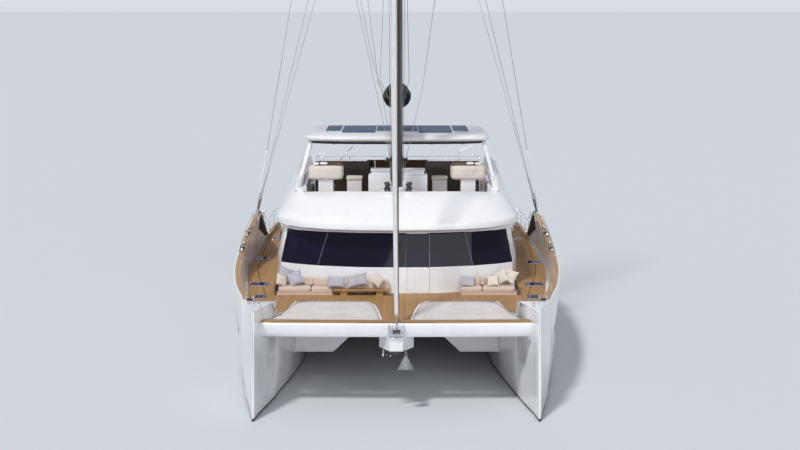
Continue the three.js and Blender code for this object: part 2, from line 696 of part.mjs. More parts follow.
// Hardtop on four raked pillars, with its solar panels
const PILLARS = [
  { foot: [3650, -1850, COAMING.top + GAP], head: [3400, 300] },
  { foot: [3880, 4250, COAMING.top + GAP], head: [3480, 3600] },
];
const PILLAR_SIZE = [150, 260];
const hardtopRing = (inset, z) => {
  const [x, y0, y1, r] = [HARDTOP.x - inset, HARDTOP.front + inset, HARDTOP.back - inset, 700];
  const half = [
    [0, y0 - 160],
    [x * 0.55, y0 - 110],
    [x - r, y0 + 40],
    [x - r * 0.3, y0 + r * 0.35],
    [x, y0 + r],
    [x, y1 - r],
    [x - r * 0.3, y1 - r * 0.3],
    [x - r, y1],
  ];
  return closedRing(half, z);
};
const pillarRing = ([x, y], z) => {
  const [w, d] = PILLAR_SIZE.map((size) => size / 2);
  return [
    [x - w, y - d, z],
    [x + w, y - d, z],
    [x + w, y + d, z],
    [x - w, y + d, z],
  ];
};
const hardtopSlab = loft([
  hardtopRing(160, HARDTOP.bottom),
  hardtopRing(20, HARDTOP.bottom + 60),
  hardtopRing(0, HARDTOP.top - 90),
  hardtopRing(160, HARDTOP.top),
]);
const pillars = PILLARS.flatMap(({ foot: [x, y, z], head }) => {
  const pillar = loft([pillarRing([x, y], z), pillarRing(head, HARDTOP.bottom + 30)]);
  return [pillar, mirror(pillar)];
});
add("hardtop", join(hardtopSlab, ...pillars), GELCOAT);

// Three panels a side on one thin tray.
const PANELS = [
  { x0: 250, x1: 820, front: 1900 },
  { x0: 870, x1: 2200, front: 1000 },
  { x0: 2270, x1: 2870, front: 1900 },
];
const PANEL = { back: 3800, bottom: HARDTOP.top + 8, top: HARDTOP.top + 36 };
const solarPanels = PANELS.flatMap(({ x0, x1, front }) => {
  const panel = box(x0, x1, front, PANEL.back, PANEL.bottom, PANEL.top);
  return [panel, mirror(panel)];
});
const panelTray = box(-2900, 2900, 1940, PANEL.back + 20, HARDTOP.top + GAP, HARDTOP.top + 12);
add("solar_panels", join(panelTray, ...solarPanels), SOLAR);

// Flybridge furniture
const onFloor = FLY.floor + GAP;
// A helm console is a narrow pedestal under a wide rounded pod.
const PEDESTAL = { x0: 2400, x1: 2960, y0: -2500, y1: -1650, top: 6450 };
const POD_RINGS = [
  { x0: 2060, x1: 3300, y0: -2540, y1: -1720, z: 6420 },
  { x0: 2030, x1: 3330, y0: -2600, y1: -1670, z: 6560 },
  { x0: 2050, x1: 3310, y0: -2560, y1: -1700, z: 6790 },
  { x0: 2130, x1: 3230, y0: -2400, y1: -1860, z: 6940 },
];
const rectangle = ({ x0, x1, y0, y1, z }) => [
  [x0, y0, z],
  [x1, y0, z],
  [x1, y1, z],
  [x0, y1, z],
];
const console = join(
  box(PEDESTAL.x0, PEDESTAL.x1, PEDESTAL.y0, PEDESTAL.y1, onFloor, PEDESTAL.top),
  loft(POD_RINGS.map(rectangle)),
);
const wheelAxle = (y) => [WHEEL.x, y, WHEEL.z];
const wheelBore = rod(wheelAxle(-1900), wheelAxle(-1500), 40);
addPair("helm_console", cut(console, wheelBore), GELCOAT);
const rim = new THREE.TorusGeometry(WHEEL.radius, 20, 8, 28)
  .rotateX(Math.PI / 2)
  .translate(...wheelAxle(WHEEL.y));
const SPOKES = 5;
const spoke = (i) => {
  const a = (i * 2 * Math.PI) / SPOKES;
  const end = [WHEEL.x + WHEEL.radius * Math.cos(a), WHEEL.y, WHEEL.z + WHEEL.radius * Math.sin(a)];
  return rod(wheelAxle(WHEEL.y), end, 14);
};
const wheel = join(
  rim,
  rod(wheelAxle(-1800), wheelAxle(WHEEL.y + 40), 32),
  rod(wheelAxle(WHEEL.y - 50), wheelAxle(WHEEL.y + 50), 60),
  ...Array.from({ length: SPOKES }, (_, i) => spoke(i)),
);
addPair("wheel", wheel, STEEL);

addPair(
  "helm_seat",
  join(box(1370, 1950, -860, -320, onFloor, 6290), box(1330, 1990, -900, -280, 6270, 6380)),
  LEATHER,
);
// Each sofa turns a high back to the helm and runs aft along the coaming; a bench closes the table's aft
// side.
const SEAT_TOP = FLY.floor + 430;
const flySofa = join(
  box(1150, 3280, 700, 880, onFloor, 6780),
  box(1150, 3280, 860, 1450, onFloor, SEAT_TOP),
  box(2650, 3280, 1430, 3500, onFloor, SEAT_TOP),
  box(3100, 3280, 1430, 3500, SEAT_TOP - 20, SEAT_TOP + 380),
);
addPair("fly_sofa", flySofa, DARK_SEAT);
add(
  "fly_bench",
  join(box(-1050, 1100, 3150, 3620, onFloor, SEAT_TOP), box(-1050, 1100, 3600, 3780, SEAT_TOP - 20, 6450)),
  DARK_SEAT,
);
add(
  "fly_bar",
  join(box(-1080, 1150, -2350, -1600, onFloor, 6580), box(-970, 1030, -2300, -1650, 6560, 6770)),
  GELCOAT,
);
add(
  "fly_table",
  join(box(-550, 550, 1650, 2850, 5960, 6010), box(-200, 200, 1950, 2450, onFloor, 5970)),
  TEAK_WOOD,
);

// Mast, boom, sail bag, headsail and shrouds
const mastRing = (width, chord, z, y = MAST.y) =>
  Array.from({ length: 12 }, (_, i) => {
    const a = (i * 2 * Math.PI) / 12;
    return [(width / 2) * Math.cos(a), y + (chord / 2) * Math.sin(a), z];
  });
const SPREADERS = [
  { z: 16200, reach: 2050 },
  { z: 25000, reach: 1450 },
];
const gooseneck = join(
  box(-70, 70, MAST.y + MAST.chord / 2 - 60, BOOM.pivotY + 90, BOOM.bottom + 20, BOOM.bottom + 90),
  box(-70, 70, MAST.y + MAST.chord / 2 - 60, BOOM.pivotY + 90, BOOM.top - 90, BOOM.top - 20),
  rod([0, BOOM.pivotY, BOOM.bottom + 60], [0, BOOM.pivotY, BOOM.top - 60], 34),
);
// Where each stay and shroud meets the mast: a flat-faced tang, whose face cuts the wire's end.
const TANG = { x: MAST.width / 2 + 60, y: MAST.y - MAST.chord / 2 - 60 };
const CHAINPLATE = { x: 5625, half: 60, y0: 420, y1: 1080, bottom: 4650, top: 4745 };
const SHROUDS = [
  { foot: [CHAINPLATE.x, 560], head: [34300, MAST.y] },
  { foot: [CHAINPLATE.x, 960], head: [25600, MAST.y] },
];
const shroudPoint = ({ foot: [x, y], head: [z, headY] }, t) => [
  mix(x, 0, t),
  mix(y, headY, t),
  mix(CHAINPLATE.top - 30, z, t),
];
const shroudTop = (s) => shroudPoint(s, 1 - TANG.x / s.foot[0]);
const shroudTangs = SHROUDS.map((s) => {
  const [x, y, z] = shroudTop(s);
  return box(-x, x, y - 50, y + 50, z - 90, z + 90);
});
const alongStay = (t) => STAY_FOOT.map((v, k) => mix(v, STAY_HEAD[k], t));
const stayTop = alongStay((TANG.y - STAY_FOOT[1]) / (STAY_HEAD[1] - STAY_FOOT[1]));
const stayTang = box(-50, 50, TANG.y, MAST.y, stayTop[2] - 150, stayTop[2] + 150);
const mast = join(
  ...shroudTangs,
  stayTang,
  loft([
    mastRing(MAST.width, MAST.chord, MAST.bottom),
    mastRing(MAST.width, MAST.chord, 24000),
    mastRing(MAST.width * 0.62, MAST.chord * 0.66, MAST.top, MAST.y + 40),
  ]),
  gooseneck,
  ...SPREADERS.flatMap(({ z, reach }) => {
    const spreader = rod([120, MAST.y, z], [reach, MAST.y - 260, z + 60], 50, 32, 8);
    return [spreader, mirror(spreader)];
  }),
);
add("mast", mast, CARBON);

const boom = cut(
  join(
    box(-BOOM.width / 2, BOOM.width / 2, BOOM.pivotY + 160, BOOM.back, BOOM.bottom, BOOM.top),
    box(-60, 60, BOOM.pivotY - 60, BOOM.pivotY + 200, BOOM.bottom + 105, BOOM.top - 105),
  ),
  rod([0, BOOM.pivotY, BOOM.bottom], [0, BOOM.pivotY, BOOM.top], 42),
);
add("boom", boom, CARBON);
// The bag hangs on both sides of the boom and is laced under the sail, so its section has the boom's notch.
const bagRing = (y, width, top) => {
  const side = BOOM.width / 2 + GAP;
  const half = [
    [side, BOOM.top + GAP],
    [side, BAG.bottom],
    [side + 90, BAG.bottom + 30],
    [width / 2, mix(BAG.bottom, top, 0.42)],
    [width * 0.46, mix(BAG.bottom, top, 0.7)],
    [width * 0.28, mix(BAG.bottom, top, 0.93)],
    [0, top],
  ];
  return [...half, ...half.slice(0, -1).reverse().map(([x, z]) => [-x, z])].map(([x, z]) => [x, y, z]);
};
add(
  "sail_bag",
  loft([
    bagRing(BOOM.pivotY + 240, BAG.width * 0.94, BAG.top - 40),
    bagRing(-1200, BAG.width, BAG.top),
    bagRing(3000, BAG.width * 0.85, BAG.top - 160),
    bagRing(BOOM.back - 150, 620, BAG.top - 420),
  ]),
  BAG_CLOTH,
);

// The furled sail lies a little to starboard of its stay halfway up.
const rollAt = (t, aside) => sumOf(alongStay(t), [-aside, 0, 0]);
const headsail = join(
  rod(alongStay(0), alongStay(1), 16),
  rod(rollAt(0.004, 0), rollAt(0.3, 70), 68, 112),
  rod(rollAt(0.29, 68), rollAt(0.93, 0), 114, 66),
);
add("headsail", cut(headsail, box(-900, 900, TANG.y - GAP, 0, 30000, 36000)), SAILCLOTH);

const WIRE = { radius: 15, terminal: 34, terminalLength: 0.07 };
const shroudWires = SHROUDS.flatMap((s) => [
  rod(shroudPoint(s, 0), shroudPoint(s, 1), WIRE.radius, WIRE.radius, 8),
  rod(shroudPoint(s, 0), shroudPoint(s, WIRE.terminalLength), WIRE.terminal, WIRE.terminal - 6, 8),
]);
const plateX = [CHAINPLATE.x - CHAINPLATE.half, CHAINPLATE.x + CHAINPLATE.half];
const chainplate = box(...plateX, CHAINPLATE.y0, CHAINPLATE.y1, CHAINPLATE.bottom, CHAINPLATE.top);
const shroudCut = box(-900, TANG.x + GAP, -9000, 9000, 20000, 36000);
const shrouds = shape(
  solid(cut(join(chainplate, ...shroudWires), shroudCut)).subtract(solid(capRail).translate([0, 0, GAP])),
);
addPair("shrouds", shrouds, STEEL);

// Bow lounge, cockpit and the stair up
const onDeck = DECK_Z + GAP;
// The sofas fill the corners between the house front and one straight front edge, and their back cushions
// line the wall.
const SOFA = { x0: 2260, x1: 4240, front: -6380, seat: 240, back: 540, backDepth: 180 };
const WALL_LINE = [
  [SOFA.x0, -5880],
  [2700, -5800],
  [3600, -5430],
  [SOFA.x1, -5040],
];
const seatOutline = [[SOFA.x0, SOFA.front], [SOFA.x1, SOFA.front], ...[...WALL_LINE].reverse()];
const backOutline = [...WALL_LINE.map(([x, y]) => [x, y - SOFA.backDepth]), ...[...WALL_LINE].reverse()];
const bowSofa = join(
  plate(seatOutline, onDeck, onDeck + SOFA.seat),
  plate(backOutline, onDeck + SOFA.seat - 40, onDeck + SOFA.back),
);
add("bow_sofa_port", bowSofa, LEATHER);
// On the other side a back cushion goes on behind the table, up to the mast.
const TABLE = { x0: -2230, x1: -230, y0: -6600, y1: -6250, height: 230 };
const behindTable = box(-SOFA.x0 - 20, TABLE.x1, -6200, -6070, onDeck, onDeck + SOFA.back);
add("bow_sofa_starboard", join(mirror(bowSofa), behindTable), LEATHER);
add("bow_table", box(TABLE.x0, TABLE.x1, TABLE.y0, TABLE.y1, onDeck, onDeck + TABLE.height), TEAK_WOOD);
const cockpitSofa = join(
  box(-1000, 3300, 7600, 8500, onDeck, onDeck + 420),
  box(-1000, 3300, 8300, 8500, onDeck + 400, onDeck + 820),
);
add("cockpit_sofa", cockpitSofa, LEATHER);
const cockpitTable = join(
  box(-400, 2700, 6100, 7200, onDeck + 690, onDeck + 740),
  box(100, 400, 6400, 6900, onDeck, onDeck + 700),
  box(1900, 2200, 6400, 6900, onDeck, onDeck + 700),
);
add("cockpit_table", cockpitTable, TEAK_WOOD);
const STEPS = 9;
const rise = (FLY.floor - onDeck - 60) / STEPS;
const run = (STAIR.y1 - STAIR.y0) / STEPS;
const treads = Array.from({ length: STEPS }, (_, i) => {
  const y = STAIR.y1 - (i + 1) * run;
  const z = onDeck + (i + 1) * rise;
  return box(STAIR.x0 + 60, STAIR.x1 - 60, y - 30, y + run, z - 50, z);
});
const stringer = (x) =>
  loft([
    [
      [x - 25, STAIR.y1, onDeck],
      [x + 25, STAIR.y1, onDeck],
      [x + 25, STAIR.y1 - 260, onDeck],
      [x - 25, STAIR.y1 - 260, onDeck],
    ],
    [
      [x - 25, STAIR.y0 + 320, FLY.floor - 80],
      [x + 25, STAIR.y0 + 320, FLY.floor - 80],
      [x + 25, STAIR.y0 + 60, FLY.floor - 80],
      [x - 25, STAIR.y0 + 60, FLY.floor - 80],
    ],
  ]);
add("fly_stair", join(stringer(STAIR.x0 + 120), stringer(STAIR.x1 - 120), ...treads), GELCOAT);

export default root;
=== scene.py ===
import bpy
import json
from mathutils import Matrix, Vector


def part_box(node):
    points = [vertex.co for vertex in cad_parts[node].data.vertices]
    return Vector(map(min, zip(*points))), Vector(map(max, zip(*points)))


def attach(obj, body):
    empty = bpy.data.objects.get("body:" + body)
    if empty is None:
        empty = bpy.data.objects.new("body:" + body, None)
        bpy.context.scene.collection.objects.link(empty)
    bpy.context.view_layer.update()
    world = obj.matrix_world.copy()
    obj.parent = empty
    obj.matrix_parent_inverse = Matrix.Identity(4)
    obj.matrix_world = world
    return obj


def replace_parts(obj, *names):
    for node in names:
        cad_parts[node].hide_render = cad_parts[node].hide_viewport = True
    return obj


bl_info = {
    "name": "Cruising catamaran at anchor",
    "version": (1, 0, 0),
    "blender": (4, 5, 0),
    "location": "View3D > Sidebar > Catamaran",
    "description": "Dresses a sailing catamaran: gelcoat, teak, glass, nets, cushions, rigging and gear",
    "category": "Add Mesh",
}

import json
import math

import bmesh
import bpy
import numpy as np
from bpy.props import FloatProperty, FloatVectorProperty, PointerProperty
from mathutils import Euler, Vector
from mathutils.bvhtree import BVHTree

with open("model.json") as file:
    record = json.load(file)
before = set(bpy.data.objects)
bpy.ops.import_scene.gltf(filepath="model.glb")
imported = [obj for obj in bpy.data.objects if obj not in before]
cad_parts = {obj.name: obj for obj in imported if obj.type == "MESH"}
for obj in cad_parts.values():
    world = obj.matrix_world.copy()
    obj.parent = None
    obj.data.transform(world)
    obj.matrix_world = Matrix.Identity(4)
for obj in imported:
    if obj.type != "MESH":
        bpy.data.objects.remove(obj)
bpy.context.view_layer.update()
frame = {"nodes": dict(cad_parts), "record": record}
NODES = frame["nodes"]
BODY_OF = {node: body for body, nodes in frame["record"]["behaviour"]["bodies"].items() for node in nodes}

# Places that several pieces share, in metres, read from the frame where it holds them
DECK_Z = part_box("bridgedeck")[1][2]
FLY_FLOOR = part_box("helm_console_port")[0][2]
STEP_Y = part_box("bulwark_port")[0][1]
BOOM_LOW, BOOM_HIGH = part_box("boom")
MAST_Y = -3.6
HARDTOP_UNDER = 7.56
HOUSE_START = -4.9  # forward of it the side decks widen into the terrace
TERRACE_FRONT = -7.31
COCKPIT_AFT = 8.94
SIDES = (("port", 1), ("starboard", -1))
CLOTH_FRAMES = 12

# Colours that several finishes share, and the fill light's share of the sun
WATERLINE_STRIPE = 0.1
BOTTOM_PAINT = (0.012, 0.018, 0.032)
WHITE = (0.86, 0.86, 0.87)
FILL_SHARE = 0.3

# The slot that each finish fills
SLOT_OF = {
    "white_gelcoat": ("white", "hull", "lamp", "cream"),
    "teak": ("teak", "teak_cross", "cap"),
    "dark_seat": ("walnut", "shell", "lining"),
    "dark_glass": ("glass", "hatch"),
    "carbon": ("black", "carbon", "seal", "rope"),
    "stainless": ("steel", "galvanised"),
    "netting": ("net", "pale_rope"),
    "sailcloth": ("sail",),
    "bag_cloth": ("bag",),
    "cushion": ("beige",),
}
SLOT_OF = {finish: slot for slot, finishes in SLOT_OF.items() for finish in finishes}
MATS = {}


# Surfaces worked out as whole arrays


def new_object(name, verts, faces, material, smooth=True):
    """Makes a mesh object from an array of points and a list of faces, with one material."""
    mesh = bpy.data.meshes.new(name)
    points = np.asarray(verts, float).reshape(-1, 3).tolist()
    mesh.from_pydata(points, [], [list(map(int, f)) for f in faces])
    mesh.validate()
    mesh.materials.append(material)
    if smooth:
        mesh.shade_smooth()
    obj = bpy.data.objects.new(name, mesh)
    bpy.context.scene.collection.objects.link(obj)
    return obj


def points_of(mesh):
    """A mesh's points, as rows of x, y and z."""
    points = np.empty(len(mesh.vertices) * 3)
    mesh.vertices.foreach_get("co", points)
    return points.reshape(-1, 3)


def grid_faces(rows, cols, wrap_rows=False, wrap_cols=False):
    """Quads of a grid of rows by cols points, joined round where asked."""
    i = np.arange(rows if wrap_rows else rows - 1)[:, None]
    j = np.arange(cols if wrap_cols else cols - 1)[None, :]
    i2, j2 = (i + 1) % rows, (j + 1) % cols
    quads = np.stack([i * cols + j, i * cols + j2, i2 * cols + j2, i2 * cols + j], axis=-1)
    return quads.reshape(-1, 4).tolist()


def tube_faces(rows, cols):
    """Faces of a closed tube of rows rings: its quads and a cap over each end."""
    caps = [list(range(cols))[::-1], list(range((rows - 1) * cols, rows * cols))]
    return grid_faces(rows, cols, False, True) + caps


def band_faces(first, second, count):
    """Quads between two rings of count points, each ring given by the number of its first point."""
    pairs = [(i, (i + 1) % count) for i in range(count)]
    return [[first + i, first + j, second + j, second + i] for i, j in pairs]


def columns(*lines):
    """Points from one line of values for each axis; a plain number holds all along."""
    return np.column_stack(np.broadcast_arrays(*lines))


def join_parts(parts):
    """Puts several (points, faces) pairs into one pair."""
    verts, faces, start = [], [], 0
    for points, quads in parts:
        points = np.asarray(points, float).reshape(-1, 3)
        verts.append(points)
        faces += [[v + start for v in face] for face in quads]
        start += len(points)
    return np.concatenate(verts), faces


def swept(path, radius, sides=8, closed=False):
    """A tube: at each point of the path, a ring of the given radius lies across the path's direction."""
    path = np.asarray(path, float)
    tangent = np.roll(path, -1, 0) - np.roll(path, 1, 0) if closed else np.gradient(path, axis=0)
    tangent /= np.linalg.norm(tangent, axis=1, keepdims=True) + 1e-12
    up = np.where(np.abs(tangent[:, 2:3]) > 0.9, [[1.0, 0, 0]], [[0, 0, 1.0]])
    side = np.cross(tangent, up)
    side /= np.linalg.norm(side, axis=1, keepdims=True) + 1e-12
    over = np.cross(side, tangent)
    a = np.linspace(0, 2 * np.pi, sides, endpoint=False)[None, :, None]
    r = np.broadcast_to(np.asarray(radius, float), (len(path),))[:, None, None]
    points = path[:, None] + (side[:, None] * np.cos(a) + over[:, None] * np.sin(a)) * r
    faces = grid_faces(len(path), sides, True, True) if closed else tube_faces(len(path), sides)
    return points.reshape(-1, 3), faces


def turned(profile, centre, axis="z", steps=24):
    """A lathed form: a profile of (radius, height) pairs turned about an axis through the centre."""
    profile = np.asarray(profile, float)
    a = np.linspace(0, 2 * np.pi, steps, endpoint=False)
    r, h = profile[:, 0][:, None], profile[:, 1][:, None] * np.ones(steps)
    x, y = r * np.cos(a), r * np.sin(a)
    order = {"z": (x, y, h), "x": (h, x, y)}[axis]
    points = np.stack(order, -1) + np.asarray(centre, float)
    return points.reshape(-1, 3), tube_faces(len(profile), steps)


def blunted(value, power):
    """A sine or cosine raised to 2 / power with its sign kept, for a superellipse."""
    return np.sign(value) * np.abs(value) ** (2 / power)


def pillowed(low, high, square=5.0, crown=0.25, rows=14, cols=28):
    """A stuffed box: a superellipsoid, its sines and cosines raised to small powers, its top crowned."""
    low, high = np.asarray(low, float), np.asarray(high, float)
    v = np.linspace(-np.pi / 2, np.pi / 2, rows)[:, None]
    u = np.linspace(0, 2 * np.pi, cols, endpoint=False)[None, :]
    x = blunted(np.cos(v), square) * blunted(np.cos(u), square)
    y = blunted(np.cos(v), square) * blunted(np.sin(u), square)
    z = blunted(np.sin(v), 2 + square * (1 - crown)) * np.ones_like(u)
    points = (low + high) / 2 + np.stack([x, y, z], -1) * (high - low) / 2
    return points.reshape(-1, 3), grid_faces(rows, cols, False, True)


def block(low, high):
    """A plain box's eight corners and six faces, to be bevelled or joined to others."""
    (x0, y0, z0), (x1, y1, z1) = low, high
    points = [(x, y, z) for z in (z0, z1) for y in (y0, y1) for x in (x0, x1)]
    faces = [[0, 2, 3, 1], [4, 5, 7, 6], [0, 1, 5, 4], [2, 6, 7, 3], [0, 4, 6, 2], [1, 3, 7, 5]]
    return np.array(points), faces


def prism(outline, low, high):
    """A straight-sided block over an outline of (x, y) points."""
    count = len(outline)
    points = [(*p, z) for z in (low, high) for p in outline]
    caps = [list(range(count))[::-1], list(range(count, 2 * count))]
    return np.array(points), caps + band_faces(0, count, count)


def slab(inner, outer, bottom, top):
    """A thin board between two lines of (x, y) points, closed at its edges and ends."""
    inner, outer = np.asarray(inner, float), np.asarray(outer, float)
    lines = ((inner, bottom), (outer, bottom), (outer, top), (inner, top))
    points = np.stack([columns(*line.T, z) for line, z in lines], 1)
    return points.reshape(-1, 3), tube_faces(len(inner), 4)


def ribbon(path, normal, width, thick):
    """A flat strip along a path: width across it, thickness along the given normal."""
    path, normal = np.asarray(path, float), np.asarray(normal, float)
    tangent = np.gradient(path, axis=0)
    across = np.cross(tangent, normal)
    across *= width / 2 / np.linalg.norm(across, axis=1, keepdims=True)
    out = normal / np.linalg.norm(normal) * thick
    points = np.stack([path - across, path + across, path + across + out, path - across + out], 1)
    return points.reshape(-1, 3), tube_faces(len(path), 4)


def laid(grid, outward, proud=0.008, thick=0.016):
    """A thin closed panel on a surface: a grid of its points, moved along the grid's own normals."""
    normal = np.cross(np.gradient(grid, axis=0), np.gradient(grid, axis=1))
    normal /= np.linalg.norm(normal, axis=2, keepdims=True) + 1e-12
    normal *= np.sign((normal * np.asarray(outward, float)).sum(2, keepdims=True))
    rows, cols = grid.shape[:2]
    outer, inner = grid + normal * proud, grid + normal * (proud - thick)
    top = grid_faces(rows, cols)
    total = rows * cols
    rim = [*range(cols), *(r * cols + cols - 1 for r in range(1, rows))]
    rim += [(rows - 1) * cols + i for i in range(cols - 2, -1, -1)]
    rim += [r * cols for r in range(rows - 2, 0, -1)]
    faces = top + [[v + total for v in face[::-1]] for face in top]
    faces += [[a, b, b + total, a + total] for a, b in zip(rim, rim[1:] + rim[:1])]
    return np.concatenate([outer.reshape(-1, 3), inner.reshape(-1, 3)]), faces


def cushion(corners, low, high, square=7.0):
    """A crowned pad: a superellipsoid whose square is blended in plan between the four corners."""
    points, faces = pillowed((-1, -1, low), (1, 1, high), square, 0.2, 12, 40)
    a, b, c, d = (np.asarray(corner, float) for corner in corners)
    u, v = (points[:, :1] + 1) / 2, (points[:, 1:2] + 1) / 2
    plan = (a * (1 - u) + b * u) * (1 - v) + (d * (1 - u) + c * u) * v
    return np.column_stack([plan, points[:, 2]]), faces


def pad(x0, x1, y0, y1, low, high, square=7.0):
    """A cushion over a rectangle."""
    return cushion([(x0, y0), (x1, y0), (x1, y1), (x0, y1)], low, high, square)


def turned_by(points, pitch=0.0, roll=0.0, yaw=0.0, to=(0, 0, 0)):
    """Points turned about the X, Y and Z axes in that order, angles in degrees, then moved."""
    turn = np.array(Euler(np.radians((pitch, roll, yaw))).to_matrix())
    return np.asarray(points) @ turn.T + np.asarray(to, float)


def pillow(side, thick, centre, pitch, roll, yaw, wide=1.0):
    """A loose pillow, square or wider, turned and put in place.

    Its thickness follows a power of (1 - x squared) times (1 - y squared), so its corners are thin, and
    its sides are drawn in between the corners with the cube of the way out from the middle.
    """
    count = 13
    u = np.linspace(-1, 1, count)
    x, y = np.meshgrid(u, u, indexing="ij")
    full = np.sqrt(np.clip((1 - x**2) * (1 - y**2), 0, 1)) ** 0.8
    draw = 1 - 0.1 * (1 - x**2 * y**2) * np.maximum(np.abs(x), np.abs(y)) ** 3
    top = np.stack([x * draw * wide * side / 2, y * draw * side / 2, full * thick / 2], -1).reshape(-1, 3)
    faces = grid_faces(count, count)
    under = [[v + count**2 for v in face[::-1]] for face in faces]
    return turned_by(np.concatenate([top, top * (1, 1, -1)]), pitch, roll, yaw, centre), faces + under


def shrunk(outline, inset):
    """A convex outline moved in by the inset: each side is shifted and met with the next."""
    outline = np.asarray(outline, float)
    turn = np.roll(outline, -1, 0) - outline
    inward = columns(-turn[:, 1], turn[:, 0])
    inward /= np.linalg.norm(inward, axis=1, keepdims=True)
    ahead = np.roll(outline, -1, 0)
    inward *= np.sign(np.sum(outline[:, 0] * ahead[:, 1] - outline[:, 1] * ahead[:, 0]))
    base = outline + inward * inset
    points = []
    for i in range(len(outline)):
        a, u, b, w = base[i - 1], turn[i - 1], base[i], turn[i]
        t = ((b[0] - a[0]) * w[1] - (b[1] - a[1]) * w[0]) / (u[0] * w[1] - u[1] * w[0])
        points.append(a + u * t)
    return np.array(points)


def rounded(outline, radius, steps):
    """An outline with each corner as a quadratic curve, from one radius before it to one past it."""
    outline = np.asarray(outline, float)
    points = []
    for i, corner in enumerate(outline):
        to_last, to_next = outline[i - 1] - corner, outline[(i + 1) % len(outline)] - corner
        reach = min(radius, np.linalg.norm(to_last) * 0.45, np.linalg.norm(to_next) * 0.45)
        start = corner + to_last / np.linalg.norm(to_last) * reach
        end = corner + to_next / np.linalg.norm(to_next) * reach
        t = np.linspace(0, 1, steps)[:, None]
        points.append(start * (1 - t) ** 2 + corner * 2 * t * (1 - t) + end * t**2)
    return np.concatenate(points)


def line_through(points, radius, steps=14, sides=6):
    """A taut line that bends slightly at each of its points, each stretch straight."""
    points = np.asarray(points, float)
    stretches = [np.linspace(a, b, steps, endpoint=False) for a, b in zip(points, points[1:])]
    return swept(np.concatenate([*stretches, points[-1:]]), radius, sides)


def sided(parts, sign):
    """The parts as they are for port, or their mirror images, wound the other way, for starboard."""
    if sign > 0:
        return parts
    return [(np.asarray(p, float) * (-1, 1, 1), [f[::-1] for f in faces]) for p, faces in parts]


def both_sides(parts):
    """The parts with their mirror images."""
    return parts + sided(parts, -1)


# What turns surfaces into pieces of the model


def clean(obj, merge=1e-4):
    """Merges doubled points and turns the faces outwards."""
    bm = bmesh.new()
    bm.from_mesh(obj.data)
    bmesh.ops.remove_doubles(bm, verts=bm.verts, dist=merge)
    bmesh.ops.dissolve_degenerate(bm, edges=bm.edges, dist=merge / 10)
    bmesh.ops.recalc_face_normals(bm, faces=bm.faces)
    bm.to_mesh(obj.data)
    bm.free()


def bevel(obj, width, angle=35):
    """Rounds the sharp edges and keeps the broad faces flat."""
    mod = obj.modifiers.new("edges", "BEVEL")
    mod.width, mod.segments = width, 2
    mod.limit_method, mod.angle_limit = "ANGLE", math.radians(angle)
    mod.harden_normals = True


def weigh_edges(obj, angle, seam):
    """Limits the bevel to sharp edges away from a seam, through the edges' bevel weights."""
    mesh = obj.data
    bm = bmesh.new()
    bm.from_mesh(mesh)
    sharp = [len(e.link_faces) == 2 and e.calc_face_angle(0) > math.radians(angle) for e in bm.edges]
    kept = [not all(seam(v.co) for v in e.verts) for e in bm.edges]
    bm.free()
    weight = mesh.attributes.new("bevel_weight_edge", "FLOAT", "EDGE")
    weight.data.foreach_set("value", np.array(sharp, float) * np.array(kept, float))
    obj.modifiers["edges"].limit_method = "WEIGHT"


def ride(obj, body="boat"):
    """Makes a piece move with a body."""
    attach(obj, body)
    return obj


def piece(name, parts, finish, body="boat", smooth=True, round_edges=0.0):
    """Joins the parts into one object, cleans it, rounds its edges where asked, and puts it on its body."""
    obj = new_object(name, *join_parts(parts), MATS[finish], smooth)
    clean(obj)
    if round_edges:
        bevel(obj, round_edges)
    return ride(obj, body)


def faceted(name, parts, finish, round_edges=0.0, body="boat"):
    """A piece with flat faces."""
    return piece(name, parts, finish, body, False, round_edges)


def dressed(node, finish, width=0.012, angle=30, seam=None):
    """Stands for a rigid CAD node: its own mesh with the loose triangles merged, smooth over shallow edges.

    Edges that lie wholly on a seam, a function of the points that is true there, keep their sharp joint.
    """
    mesh = NODES[node].data.copy()
    obj = bpy.data.objects.new("finish_" + node, mesh)
    bpy.context.scene.collection.objects.link(obj)
    clean(obj, 2e-4)
    mesh.materials.clear()
    mesh.materials.append(MATS[finish])
    mesh.shade_smooth()
    mesh.set_sharp_from_angle(angle=math.radians(angle))
    bevel(obj, width, angle)
    if seam:
        weigh_edges(obj, angle, seam)
    ride(obj, BODY_OF[node])
    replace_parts(obj, node)


def puffed(name, parts, finish, cap, body="boat"):
    """A padded piece: its parts swell under cloth pressure, each point by at most the cap, and stay so."""
    obj = new_object(name, *join_parts(parts), MATS[finish])
    clean(obj)
    rest = points_of(obj.data)
    cloth = obj.modifiers.new("cloth", "CLOTH")
    cloth.settings.use_pressure = True
    cloth.settings.uniform_pressure_force = 4.0
    cloth.settings.effector_weights.gravity = 0.0
    cloth.settings.shrink_min = -0.06
    for frame_no in range(1, CLOTH_FRAMES + 1):
        bpy.context.scene.frame_set(frame_no)
    evaluated = obj.evaluated_get(bpy.context.evaluated_depsgraph_get())
    moved = points_of(evaluated.data) - rest
    length = np.linalg.norm(moved, axis=1, keepdims=True)
    moved *= np.minimum(1, cap / np.maximum(length, 1e-9))
    obj.modifiers.remove(cloth)
    obj.data.vertices.foreach_set("co", (rest + moved).ravel())
    bpy.context.scene.frame_set(1)
    smooth = obj.modifiers.new("smooth", "SUBSURF")
    smooth.levels = smooth.render_levels = 1
    ride(obj, body)
    return obj


# What is read off the CAD nodes


def mesh_points(node_name):
    """A CAD node's points."""
    return points_of(NODES[node_name].data)


def sections(points):
    """The points at each y at which the solid has a section, as (y, ring) pairs."""
    return [(y, points[np.abs(points[:, 1] - y) < 0.006]) for y in np.unique(points[:, 1].round(2))]


